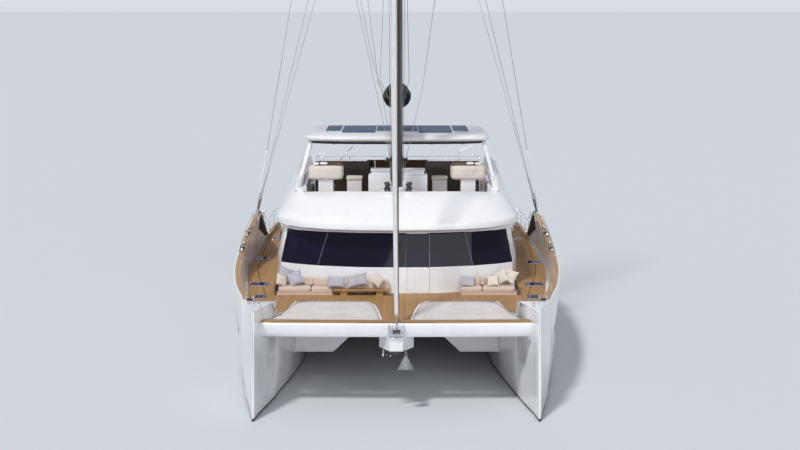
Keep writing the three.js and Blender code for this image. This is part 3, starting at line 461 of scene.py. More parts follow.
def probe(nodes, origins, direction, reach=30.0):
    """Where rays from the origins first meet the CAD nodes; a ray that misses gives a row of NaN."""
    trees = []
    for name in nodes:
        data = NODES[name].data
        faces = [face.vertices for face in data.polygons]
        trees.append(BVHTree.FromPolygons([v.co for v in data.vertices], faces))
    found = []
    for origin in origins:
        hits = [tree.ray_cast(Vector(origin), Vector(direction), reach) for tree in trees]
        near = min((h for h in hits if h[0]), key=lambda h: h[3], default=None)
        found.append(tuple(near[0]) if near else (np.nan,) * 3)
    return np.array(found)


def house_side(ys, z):
    """How far out the deckhouse stands at each y, at one height."""
    nodes = ["deckhouse", "side_glass_port", "windscreen_port"]
    return probe(nodes, [(7.0, y, z) for y in ys], (-1, 0, 0))[:, 0]


def house_front(xs, z):
    """How far forward the deckhouse stands at each x, at one height."""
    nodes = ["deckhouse", "windscreen_port", "windscreen_starboard", "front_door", "front_door_glass"]
    return probe(nodes, [(x, -9.0, z) for x in xs], (0, 1, 0))[:, 1]


def on_screen(x, z, proud=0.006):
    """A point on the house front at x and z, standing proud of the glass or the moulding."""
    return np.array([x, house_front([x], z)[0] - proud, z])


def top_of(node_names, x, y):
    """The height at which a plumb line at x and y first meets the CAD nodes."""
    return probe(node_names, [(x, y, 12.0)], (0, 0, -1))[0, 2]


def cap_line():
    """The middle of the port cap rail's top, as rows of (x, y, z)."""
    rings = sections(mesh_points("cap_rail_port"))
    return np.array([((ring[:, 0].min() + ring[:, 0].max()) / 2, y, ring[:, 2].max()) for y, ring in rings])


def on_cap(ys, height=0.0, out=0.0):
    """Points over the cap rail at each y, raised by a height and moved outboard."""
    line = cap_line()
    x, z = (np.interp(ys, line[:, 1], line[:, k]) for k in (0, 2))
    return columns(x + out, ys, z + height)


# Materials, each from nodes that read the object's own coordinates


def shade(color, factor):
    """A colour made lighter or darker."""
    return tuple(min(1, c * factor) for c in color)


def material(name, color, roughness=0.4, metallic=0.0, coat=0.0, sheen=0.0):
    """Starts a material whose shader holds its plain values, and returns it with its tree and shader."""
    mat = bpy.data.materials.new(name)
    mat.use_nodes = True
    shader = mat.node_tree.nodes["Principled BSDF"]
    shader.inputs["Base Color"].default_value = (*color, 1)
    shader.inputs["Roughness"].default_value = roughness
    shader.inputs["Metallic"].default_value = metallic
    shader.inputs["Coat Weight"].default_value = coat
    shader.inputs["Sheen Weight"].default_value = sheen
    return mat, mat.node_tree, shader


def node(tree, kind, **settings):
    """Adds a node; each setting is a property, or an input where a socket has that name."""
    made = tree.nodes.new(kind)
    for key, value in settings.items():
        if hasattr(made, key):
            setattr(made, key, value)
        else:
            made.inputs[key.replace("_", " ")].default_value = value
    return made


def coordinates(tree, scale=(1, 1, 1), rotation=(0, 0, 0)):
    """Object coordinates through a Mapping."""
    coord = tree.nodes.new("ShaderNodeTexCoord")
    mapping = node(tree, "ShaderNodeMapping")
    mapping.inputs["Scale"].default_value = scale
    mapping.inputs["Rotation"].default_value = rotation
    tree.links.new(coord.outputs["Object"], mapping.inputs["Vector"])
    return mapping.outputs["Vector"]


def ramp(tree, value, *stops):
    """A colour ramp through (place, colour) stops."""
    made = tree.nodes.new("ShaderNodeValToRGB")
    elements = made.color_ramp.elements
    while len(elements) < len(stops):
        elements.new(0.5)
    for element, (place, color) in zip(elements, stops):
        element.position = place
        element.color = (*color, 1)
    tree.links.new(value, made.inputs["Fac"])
    return made.outputs["Color"]


def noise(tree, vector, scale, detail=4, rough=0.55):
    """Cloudy noise over a vector."""
    made = node(tree, "ShaderNodeTexNoise", Scale=scale, Detail=detail, Roughness=rough)
    tree.links.new(vector, made.inputs["Vector"])
    return made.outputs["Fac"]


def plug(tree, sockets, values):
    """Gives each socket its value: a link from another socket, a colour or a plain number."""
    for socket, value in zip(sockets, values):
        if isinstance(value, bpy.types.NodeSocket):
            tree.links.new(value, socket)
        else:
            socket.default_value = (*value, 1) if isinstance(value, tuple) else value


def blend(tree, a, b, factor, mode="MIX"):
    """Mixes two colours; each side and the factor is a socket or a plain value."""
    made = tree.nodes.new("ShaderNodeMix")
    made.data_type, made.blend_type = "RGBA", mode
    plug(tree, (made.inputs[0], made.inputs[6], made.inputs[7]), (factor, a, b))
    return made.outputs[2]


def math_node(tree, operation, a, b=0.0, clamp=False):
    """One sum over sockets or plain numbers."""
    made = node(tree, "ShaderNodeMath", operation=operation, use_clamp=clamp)
    plug(tree, made.inputs, (a, b))
    return made.outputs[0]


def paint(tree, shader, color):
    """Links a colour to the shader."""
    tree.links.new(color, shader.inputs["Base Color"])


def bump(tree, shader, height, strength, distance):
    """Links a height to the shader as a bump."""
    made = node(tree, "ShaderNodeBump", Strength=strength, Distance=distance)
    tree.links.new(height, made.inputs["Height"])
    tree.links.new(made.outputs["Normal"], shader.inputs["Normal"])


def place_on(tree, axis):
    """One axis of the object's coordinates, in metres."""
    coord = tree.nodes.new("ShaderNodeTexCoord")
    parts = tree.nodes.new("ShaderNodeSeparateXYZ")
    tree.links.new(coord.outputs["Object"], parts.inputs[0])
    return parts.outputs[axis]


def below(tree, z, level, sharpness):
    """1 below a level and 0 above it, over a step of the given sharpness."""
    return math_node(tree, "MULTIPLY", math_node(tree, "SUBTRACT", level, z), sharpness, True)


def gelcoat(name, color, waterline=False):
    """White gelcoat with a faint waviness and stain, and on hulls dark paint below the waterline."""
    mat, tree, shader = material(name, color, 0.24, coat=0.4)
    vector = coordinates(tree)
    stain = ramp(tree, noise(tree, vector, 0.9), (0.35, shade(color, 0.965)), (0.65, color))
    streaks = noise(tree, coordinates(tree, (1, 1, 0.12)), 5.0)
    grime = ramp(tree, streaks, (0.45, (1, 1, 1)), (0.8, (0.93, 0.92, 0.9)))
    out = blend(tree, stain, grime, 0.6, "MULTIPLY")
    if waterline:
        z = place_on(tree, "Z")
        out = blend(tree, out, BOTTOM_PAINT, below(tree, z, WATERLINE_STRIPE, 60.0))
        film = math_node(tree, "MULTIPLY", below(tree, z, 0.45, 2.2), 0.16)
        out = blend(tree, out, (0.62, 0.6, 0.5), film, "MULTIPLY")
    paint(tree, shader, out)
    bump(tree, shader, noise(tree, vector, 2.2, 2), 0.04, 0.02)
    return mat


def teak(name, along="Y", plank=0.055, color=(0.415, 0.228, 0.085)):
    """Laid teak: planks with dark caulked seams, each plank its own shade, and long fine grain."""
    mat, tree, shader = material(name, color, 0.62)
    across, stretch = ("X", (14, 0.9, 14)) if along == "Y" else ("Y", (0.9, 14, 14))
    counted = math_node(tree, "DIVIDE", place_on(tree, across), plank)
    tone = node(tree, "ShaderNodeTexWhiteNoise", noise_dimensions="1D")
    tree.links.new(math_node(tree, "FLOOR", counted), tone.inputs["W"])
    tones = ((0.0, shade(color, 0.84)), (0.5, color), (1.0, shade(color, 1.16)))
    tint = ramp(tree, tone.outputs["Value"], *tones)
    fibres = noise(tree, coordinates(tree, stretch), 2.6, 8, 0.65)
    grain = ramp(tree, fibres, (0.3, (0.72, 0.7, 0.66)), (0.7, (1.12, 1.1, 1.06)))
    wood = blend(tree, tint, grain, 0.75, "MULTIPLY")
    bleach = ramp(tree, noise(tree, coordinates(tree), 0.7, 3), (0.4, (0, 0, 0)), (0.75, (1, 1, 1)))
    wood = blend(tree, wood, (0.48, 0.33, 0.18), math_node(tree, "MULTIPLY", bleach, 0.22))
    seam = math_node(tree, "LESS_THAN", math_node(tree, "FRACT", counted), 0.1)
    wood = blend(tree, wood, (0.06, 0.05, 0.045), math_node(tree, "MULTIPLY", seam, 0.8))
    paint(tree, shader, wood)
    bump(tree, shader, math_node(tree, "SUBTRACT", 1.0, seam), 0.35, 0.003)
    return mat


def fabric(name, color, thread=220.0, fleck=0.08, sheen=0.25):
    """Woven outdoor cloth: crossed waves for the threads and slow uneven fading."""
    mat, tree, shader = material(name, color, 0.9, sheen=sheen)
    vector = coordinates(tree)
    waves = []
    for axis in "XYZ":
        wave = node(tree, "ShaderNodeTexWave", bands_direction=axis, Scale=thread, Distortion=0.4)
        tree.links.new(vector, wave.inputs["Vector"])
        waves.append(wave.outputs["Fac"])
    weave = math_node(tree, "ADD", math_node(tree, "MULTIPLY", waves[0], waves[1]), waves[2])
    fade = noise(tree, vector, 6.0, 5)
    paint(tree, shader, ramp(tree, fade, (0.3, shade(color, 1 - fleck)), (0.7, shade(color, 1 + fleck))))
    bump(tree, shader, weave, 0.25, 0.0008)
    return mat


def netting(name, color):
    """Knitted deck net: fine holes in a pale cord mesh, read as a bright weave over dark gaps."""
    mat, tree, shader = material(name, color, 0.85)
    cells = node(tree, "ShaderNodeTexVoronoi", feature="DISTANCE_TO_EDGE", Scale=38.0)
    tree.links.new(coordinates(tree), cells.inputs["Vector"])
    weave = ramp(tree, cells.outputs["Distance"], (0.05, color), (0.3, shade(color, 0.55)))
    soil = ramp(tree, noise(tree, coordinates(tree), 1.4), (0.3, (0.86, 0.84, 0.82)), (0.7, (1, 1, 1)))
    paint(tree, shader, blend(tree, weave, soil, 1.0, "MULTIPLY"))
    bump(tree, shader, cells.outputs["Distance"], 0.3, 0.004)
    return mat


def tinted_glass(name, color):
    """Dark coated glass: opaque from outside, with a faint violet and blue cast and slight waves."""
    mat, tree, shader = material(name, color, 0.05, coat=0.1)
    shader.inputs["Specular IOR Level"].default_value = 0.16
    vector = coordinates(tree)
    bluer = (color[0] * 0.8, color[1], color[2] * 1.6)
    paint(tree, shader, ramp(tree, noise(tree, vector, 0.35, 2), (0.35, color), (0.7, bluer)))
    bump(tree, shader, noise(tree, vector, 0.8, 1), 0.02, 0.02)
    return mat


def metal(name, color, roughness):
    """Metal with an uneven polish."""
    mat, tree, shader = material(name, color, roughness, 1.0)
    polish = noise(tree, coordinates(tree), 9.0, 5)
    rough = math_node(tree, "ADD", math_node(tree, "MULTIPLY", polish, 0.18), roughness - 0.05)
    tree.links.new(rough, shader.inputs["Roughness"])
    paint(tree, shader, ramp(tree, polish, (0.3, shade(color, 0.88)), (0.7, color)))
    return mat


def carbon(name, color, rough=0.32):
    """Clear-coated dark spar paint with the faintest laminate pattern."""
    mat, tree, shader = material(name, color, rough, coat=0.35)
    squares = {"Color1": (*color, 1), "Color2": (*shade(color, 1.35), 1)}
    cloth = node(tree, "ShaderNodeTexChecker", Scale=120.0, **squares)
    tree.links.new(coordinates(tree, rotation=(0, 0, math.pi / 4)), cloth.inputs["Vector"])
    dust = ramp(tree, noise(tree, coordinates(tree), 3.0), (0.4, (1, 1, 1)), (0.75, (1.5, 1.5, 1.5)))
    paint(tree, shader, blend(tree, cloth.outputs["Color"], dust, 0.5, "MULTIPLY"))
    return mat


def sailcloth(name, color):
    """White sail cloth with fine creases and greyed streaks along the roll."""
    mat, tree, shader = material(name, color, 0.75, sheen=0.2)
    streaks = noise(tree, coordinates(tree, (6, 6, 0.25)), 3.0, 6)
    paint(tree, shader, ramp(tree, streaks, (0.35, shade(color, 0.86)), (0.6, color)))
    bump(tree, shader, noise(tree, coordinates(tree, (8, 8, 0.8)), 4.0, 5), 0.5, 0.01)
    return mat


def solar_cells(name, color):
    """Dark blue cells in a slightly paler grid under glass."""
    mat, tree, shader = material(name, color, 0.45)
    cells = {"Mortar_Size": 0.004, "Brick_Width": 0.16, "Row_Height": 0.16, "Mortar": (0.1, 0.12, 0.16, 1)}
    cells.update(Color1=(*color, 1), Color2=(*shade(color, 1.2), 1))
    bricks = node(tree, "ShaderNodeTexBrick", offset=0.0, squash=1.0, Scale=1.0, **cells)
    tree.links.new(coordinates(tree), bricks.inputs["Vector"])
    paint(tree, shader, bricks.outputs["Color"])
    return mat


def rope_fibre(name, color):
    """Laid rope: diagonal strands."""
    mat, tree, shader = material(name, color, 0.9)
    strands = node(tree, "ShaderNodeTexWave", bands_direction="DIAGONAL", Scale=26.0, Distortion=0.6)
    tree.links.new(coordinates(tree), strands.inputs["Vector"])
    paint(tree, shader, ramp(tree, strands.outputs["Fac"], (0.2, shade(color, 0.6)), (0.8, color)))
    bump(tree, shader, strands.outputs["Fac"], 0.5, 0.004)
    return mat


def make_materials():
    """Makes every finish once, under a short name."""
    MATS.update(
        hull=gelcoat("hull_gelcoat", WHITE, waterline=True),
        white=gelcoat("deck_gelcoat", WHITE),
        teak=teak("laid_teak"),
        teak_cross=teak("cross_teak", "X", 0.07),
        cap=teak("cap_rail_teak", "Y", 0.09, (0.47, 0.31, 0.18)),
        glass=tinted_glass("tinted_glass", (0.008, 0.006, 0.014)),
        hatch=tinted_glass("hatch_glass", (0.014, 0.022, 0.075)),
        net=netting("deck_net", (0.84, 0.8, 0.78)),
        steel=metal("polished_steel", (0.72, 0.73, 0.75), 0.16),
        galvanised=metal("galvanised_steel", (0.25, 0.26, 0.27), 0.45),
        bronze=metal("cast_bronze", (0.42, 0.3, 0.16), 0.35),
        carbon=carbon("spar_coat", (0.019, 0.02, 0.023), 0.42),
        shell=carbon("sofa_shell", (0.032, 0.021, 0.018), 0.5),
        # The hardtop's band: painted shade, dark blue as a painted reflection of the sea
        lining=carbon("hardtop_painted_shade", (0.006, 0.014, 0.028), 0.9),
        black=carbon("black_moulding", (0.012, 0.012, 0.014)),
        sail=sailcloth("furled_sail", (0.7, 0.66, 0.65)),
        bag=fabric("boom_bag_canvas", (0.006, 0.006, 0.009), 160, 0.25, 0.0),
        beige=fabric("beige_cushion", (0.64, 0.5, 0.42)),
        cream=fabric("cream_cover", (0.68, 0.62, 0.55)),
        dark=fabric("dark_cushion", (0.05, 0.038, 0.04)),
        brown=fabric("brown_leather", (0.19, 0.115, 0.07), 120),
        walnut=teak("dark_walnut", "Y", 0.3, (0.1, 0.05, 0.028)),
        blue_grey=fabric("lilac_grey_cushion", (0.43, 0.42, 0.46)),
        seal=carbon("rubber_seal", (0.09, 0.09, 0.1)),
        solar=solar_cells("solar_cells", (0.03, 0.06, 0.14)),
        rope=rope_fibre("braided_line", (0.1, 0.1, 0.11)),
        pale_rope=rope_fibre("pale_line", (0.5, 0.5, 0.48)),
        paint=gelcoat("engine_enamel", (0.36, 0.39, 0.41)),
        bottom=gelcoat("bottom_paint", BOTTOM_PAINT),
        lamp=material("lamp_lens", (0.8, 0.8, 0.78), 0.2)[0],
    )


# The values that the panel shows


class CATAMARAN_PG_sizes(bpy.types.PropertyGroup):
    """Sizes of the pieces that this script adds to the frame."""

    edge: FloatProperty(name="Edge", description="Radius of moulded edges", default=0.03, unit="LENGTH")
    rail: FloatProperty(name="Rail", description="Radius of the steel tubes", default=0.016, unit="LENGTH")
    line: FloatProperty(name="Line", description="Radius of running lines", default=0.011, unit="LENGTH")
    pillow: FloatProperty(name="Pillow", description="Side of a loose pillow", default=0.46, unit="LENGTH")
    teak: FloatProperty(name="Teak", description="Thickness of laid decks", default=0.012, unit="LENGTH")


class CATAMARAN_PG_stage(bpy.types.PropertyGroup):
    """The camera, floor and lights."""

    camera: FloatVectorProperty(
        name="Camera",
        description="Where the camera stands",
        default=(0.115, -52.04, 12.82),
        subtype="XYZ",
        unit="LENGTH",
    )
    pitch: FloatProperty(
        name="Pitch",
        description="How far the camera looks down",
        default=math.radians(9.31),
        subtype="ANGLE",
    )
    focal: FloatProperty(
        name="Lens",
        description="Focal length on a 36 mm sensor",
        default=59.7,
        subtype="DISTANCE_CAMERA",
    )
    floor: FloatVectorProperty(
        name="Floor",
        description="Colour of the floor at the waterline",
        default=(0.62, 0.64, 0.66),
        subtype="COLOR",
    )
    backdrop: FloatVectorProperty(
        name="Backdrop",
        description="Colour beyond the floor",
        default=(0.69, 0.73, 0.78),
        subtype="COLOR",
        max=4.0,
    )
    sky: FloatProperty(name="Sky", description="Strength of the even light", default=0.5, min=0.0)
    sun: FloatProperty(name="Sun", description="Strength of the soft sun", default=1.95, min=0.0)


# The pieces' operators


class CATAMARAN_OT_stage(bpy.types.Operator):
    """Sets the camera at the photograph's angle, the pale floor at the waterline and the soft light"""

    bl_idname = "catamaran.stage"
    bl_label = "Stage"

    def execute(self, context):
        s = context.scene.catamaran_stage
        camera = bpy.data.objects.new("camera", bpy.data.cameras.new("camera"))
        context.scene.collection.objects.link(camera)
        camera.location = s.camera
        camera.rotation_euler = (math.pi / 2 - s.pitch, 0, 0)
        camera.data.lens, camera.data.sensor_width = s.focal, 36.0
        camera.data.clip_end = 9000.0
        context.scene.camera = camera
        half = 4000.0
        corners = [(-half, -half, 0), (half, -half, 0), (half, half, 0), (-half, half, 0)]
        finish = material("floor_finish", tuple(s.floor), 0.9)[0]
        floor = new_object("floor", corners, [[0, 1, 2, 3]], finish, False)
        world = bpy.data.worlds.new("studio")
        world.use_nodes = True
        tree = world.node_tree
        seen, sky = node(tree, "ShaderNodeLightPath"), tree.nodes["Background"]
        sky.inputs["Strength"].default_value = s.sky
        backdrop = tuple(c / s.sky for c in s.backdrop)
        lit = blend(tree, (0.86, 0.9, 1.0), backdrop, seen.outputs["Is Camera Ray"])
        tree.links.new(lit, sky.inputs["Color"])
        context.scene.view_settings.view_transform = "Standard"
        context.scene.world = world
        suns = (("sun", s.sun, 34, -31, 0.12), ("fill", s.sun * FILL_SHARE, 68, 16, 0.6))
        for name, energy, down, round_z, size in suns:
            lamp = bpy.data.lights.new(name, "SUN")
            lamp.energy, lamp.angle = energy, size
            light = bpy.data.objects.new(name, lamp)
            light.rotation_euler = (math.radians(down), 0, math.radians(round_z))
            context.scene.collection.objects.link(light)
        return {"FINISHED"}


class CATAMARAN_OT_finishes(bpy.types.Operator):
    """Makes every finish"""

    bl_idname = "catamaran.finishes"
    bl_label = "Finishes"

    def execute(self, context):
        make_materials()
        return {"FINISHED"}


def on_deck_joint(point):
    """True on the joint of hull and bulwark: the deck's level, and the step behind the bow deck."""
    return abs(point[2] - DECK_Z) < 0.002 or abs(point[1] - STEP_Y) < 0.002


def bulwark_sections():
    """The port bulwark's sections as rows of y, foot, outer foot, outer top, inner top and height.

    The solid's wall is thicker than the real moulding, so the foot is moved out by up to the spare width.
    """
    points = mesh_points("bulwark_port")
    rows = []
    for y, ring in sections(points):
        low = ring[ring[:, 2] < DECK_Z + 0.01, 0]
        crest = ring[:, 2].max()
        high = ring[ring[:, 2] > crest - 0.003, 0]
        whole = len(low) > 1 and np.ptp(low) > 0.1
        if whole and (crest > DECK_Z + 0.05 or y > points[:, 1].max() - 0.02):
            rows.append((y, low.min(), low.max(), high.max(), high.min(), crest))
    rows = np.array(rows)
    stations = [-9.5, -7.3, -5.0, -2.8, -1.1, 2.0, 6.0, 9.0]
    spare = np.interp(rows[:, 0], stations, [0.05, 0.24, 0.33, 0.38, 0.36, 0.3, 0.15, 0.08])
    rows[:, 1] = np.minimum(rows[:, 1] + spare, rows[:, 2] - 0.07)
    return rows


def bulwark_wall(rows_per_bay=4):
    """The port bulwark as a smooth moulding, which runs in straight lines from section to section."""
    known = bulwark_sections()
    bays = zip(known[:, 0], known[1:, 0])
    ys = np.concatenate([np.linspace(a, b, rows_per_bay, endpoint=False) for a, b in bays])
    ys = np.append(ys, known[-1, 0])
    foot, outer, outer_top, inner_top, crest = (np.interp(ys, known[:, 0], c) for c in known[:, 1:].T)
    crest = np.maximum(crest, DECK_Z + 0.012)
    round_off = np.minimum(0.025, (crest - DECK_Z) * 0.4)
    lines = [(outer, DECK_Z)]
    for share in (0.35, 0.7, 0.92):
        lines.append((outer + (outer_top - outer) * share, DECK_Z + (crest - DECK_Z) * share))
    for angle in np.radians((10, 45, 80)):
        lines.append((outer_top - round_off * (1 - np.cos(angle)), crest - round_off * (1 - np.sin(angle))))
    lines.append((inner_top, crest))
    for share in (0.06, 0.3, 0.6, 0.85):
        lines.append((inner_top + (foot - inner_top) * share, crest + (DECK_Z - crest) * share))
    lines.append((foot + 0.012 * np.sign(inner_top - foot), DECK_Z + 0.02))
    lines.append((foot, DECK_Z))
    points = np.stack([columns(x, ys, z) for x, z in lines], 1)
    return points.reshape(-1, 3), tube_faces(*points.shape[:2])


def fin_dark_sheet():
    """A dark sheet laid on the inner face of the port bulwark, below its crest behind the shroud."""
    known = bulwark_sections()
    shares = np.linspace(0.05, 0.4, 5)
    grid = []
    for y in np.linspace(1.35, 4.5, 14):
        foot, inner_top, crest = (np.interp(y, known[:, 0], known[:, k]) for k in (1, 4, 5))
        grid.append(columns(inner_top + (foot - inner_top) * shares, y, crest + (DECK_Z - crest) * shares))
    return laid(np.array(grid), (-1, 0, 0), 0.012, 0.02)


class CATAMARAN_OT_mouldings(bpy.types.Operator):
    """Dresses the hulls, bridgedeck, deckhouse, flybridge and hardtop with rounded, smooth gelcoat"""

    bl_idname = "catamaran.mouldings"
    bl_label = "Mouldings"

    def execute(self, context):
        edge = context.scene.catamaran_sizes.edge
        for side, sign in SIDES:
            dressed(f"hull_{side}", "hull", edge * 0.7, 32, on_deck_joint)
            wall = piece(f"bulwark_moulding_{side}", sided([bulwark_wall()], sign), "hull")
            wall.data.set_sharp_from_angle(angle=math.radians(30))
            piece(f"fin_dark_sheet_{side}", sided([fin_dark_sheet()], sign), "bag", round_edges=0.004)
            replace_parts(wall, f"bulwark_{side}")
            dressed(f"cap_rail_{side}", "cap", edge * 0.4, 40)
        for name, finish, width, angle in (
            ("bridgedeck", "hull", edge, 30),
            ("crossbeam", "white", edge, 30),
            ("crossbeam_cap", "teak_cross", 0.006, 40),
            ("longeron", "white", edge * 0.6, 30),
            ("deckhouse", "white", 0.012, 32),
            ("front_door", "white", 0.008, 32),
            ("flybridge", "white", edge, 40),
            ("hardtop", "white", edge, 40),
        ):
            dressed(name, finish, width, angle)

        # A dark blue band of painted shade, its blue a painted reflection of the sea, follows the outline of
        # the hardtop's underside
        under = mesh_points("hardtop")
        under_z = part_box("solar_panels")[0][2] - 0.24
        under = under[np.abs(under[:, 2] - under_z) < 0.004][:, :2]
        centre = (under.min(0) + under.max(0)) / 2
        under = under[np.argsort(np.arctan2(*(under - centre).T[::-1]))]
        ring = under + 0.004 * np.sign(under - centre)
        faceted("hardtop_painted_shade", [prism(ring, HARDTOP_UNDER, HARDTOP_UNDER + 0.12)], "lining")
        return {"FINISHED"}


class CATAMARAN_OT_rest(bpy.types.Operator):
    """Gives the carried-over pieces their finishes"""

    bl_idname = "catamaran.rest"
    bl_label = "Carried-over pieces"

    def execute(self, context):
        glass = ("windscreen_port", "windscreen_starboard", "side_glass_port", "front_door_glass")
        glass += ("side_glass_starboard", "aft_glass", "aft_door")
        finish = dict.fromkeys(glass, "glass")
        finish.update(solar_panels="solar", mast="carbon", boom="carbon", cockpit_table="teak")
        finish.update(fly_stair="white")
        paired = dict(wheel="steel", engine="paint", engine_hatch="teak", rudder="bottom")
        paired.update(drive_leg="bronze", propeller="bronze", shrouds="steel")
        finish.update({f"{name}_{side}": key for name, key in paired.items() for side, _ in SIDES})
        for name, key in finish.items():
            dressed(name, key, 0.003 if key == "solar" else 0.01, 35)
        return {"FINISHED"}


class CATAMARAN_OT_decks(bpy.types.Operator):
    """Lays the teak: side decks, terrace, walkway, cockpit, flybridge floor and hatch lids"""

    bl_idname = "catamaran.decks"
    bl_label = "Teak decks"

    def execute(self, context):
        teak_depth = context.scene.catamaran_sizes.teak
        top = DECK_Z + teak_depth
        foot = bulwark_sections()[:, :2]
        margin, gap = 0.07, 0.012
        outer_at = lambda ys: np.interp(ys, foot[:, 0], foot[:, 1]) - margin

        # Beside the nets, beside the terrace, and along the house as far as the cockpit's front
        break_y = 5.03
        bow_ys = np.linspace(-9.44, TERRACE_FRONT - 0.01, 12)
        side_ys = np.linspace(HOUSE_START + 0.01, break_y, 60)
        bays = (
            (bow_ys, np.interp(bow_ys, [-9.5, -8.7, -7.3], [4.02, 3.72, 3.5])),
            (np.linspace(TERRACE_FRONT, HOUSE_START, 14), 4.22),
            (side_ys, house_side(side_ys, DECK_Z + 0.1) + 0.03),
        )
        board = lambda ys, x0, x1: slab(columns(x0, ys), columns(x1, ys), DECK_Z, top)
        parts = both_sides([board(ys, inner, outer_at(ys)) for ys, inner in bays])

        # The terrace reaches from side to side, back to the sofas and the house front
        xs = np.linspace(-4.2, 4.2, 57)
        back = np.fmin(house_front(xs, DECK_Z + 0.1) - 0.03, HOUSE_START)
        parts.append(slab(columns(xs, back), columns(xs, TERRACE_FRONT - 0.005), DECK_Z, top))

        # The walkway to the crossbeam narrows forward
        half = [(0.42, -10.36), (0.6, -8.7), (0.74, -7.8), (0.98, TERRACE_FRONT)]
        parts.append(slab([(-x, y) for x, y in half], half, DECK_Z, top))

        # The cockpit, and strips round the two engine hatches
        cockpit_x, overlap = 3.38, 0.02
        parts.append(board(np.array([5.09, COCKPIT_AFT]), overlap - cockpit_x, cockpit_x - overlap))
        low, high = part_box("engine_hatch_port")
        fore = np.linspace(break_y + 0.02, low[1] - gap, 5)
        along = np.linspace(low[1] - gap, high[1] + gap, 8)
        aft = np.linspace(high[1] + gap, COCKPIT_AFT, 5)
        strips = [
            board(fore, cockpit_x, outer_at(fore)),
            board(along, cockpit_x, low[0] - gap),
            board(along, high[0] + gap, outer_at(along)),
            board(aft, cockpit_x, outer_at(aft)),
        ]
        parts += both_sides(strips)
        faceted("teak_decks", parts, "teak")

        # A dark caulked line sets off the side decks' margin boards
        ys = np.linspace(-6.9, 8.8, 90)
        widths = [0.6, 0.54, 0.42, 0.34, 0.14, 0.12]
        xs = outer_at(ys) - np.interp(ys, [-6.9, -5, -2.8, -0.8, 3, 8.8], widths)
        half = 0.018
        seam = slab(columns(xs - half, ys), columns(xs + half, ys), top - 0.004, top + 0.003)
        faceted("margin_seams", both_sides([seam]), "walnut")

        # The flybridge floor
        step, end = 4.95, 8.2
        floors = (
            ([(-3.25, -2.9), (-3.25, step)], [(3.25, -2.9), (3.25, step)]),
            ([(-1.95, step), (-1.95, end)], [(3.45, step), (3.7, end)]),
            ([(-3.5, step), (-3.7, end)], [(-3.1, step), (-3.1, end)]),
        )
        floors = [slab(left, right, FLY_FLOOR, FLY_FLOOR + teak_depth) for left, right in floors]
        faceted("teak_flybridge", floors, "teak")

        for side, _ in SIDES:
            low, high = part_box(f"engine_hatch_{side}")
            left, right = ([(x, low[1] + gap), (x, high[1] - gap)] for x in (low[0] + gap, high[0] - gap))
            lid = slab(left, right, high[2], high[2] + teak_depth)
            faceted(f"teak_hatch_{side}", [lid], "teak", body=f"engine_hatch_{side}")
        return {"FINISHED"}


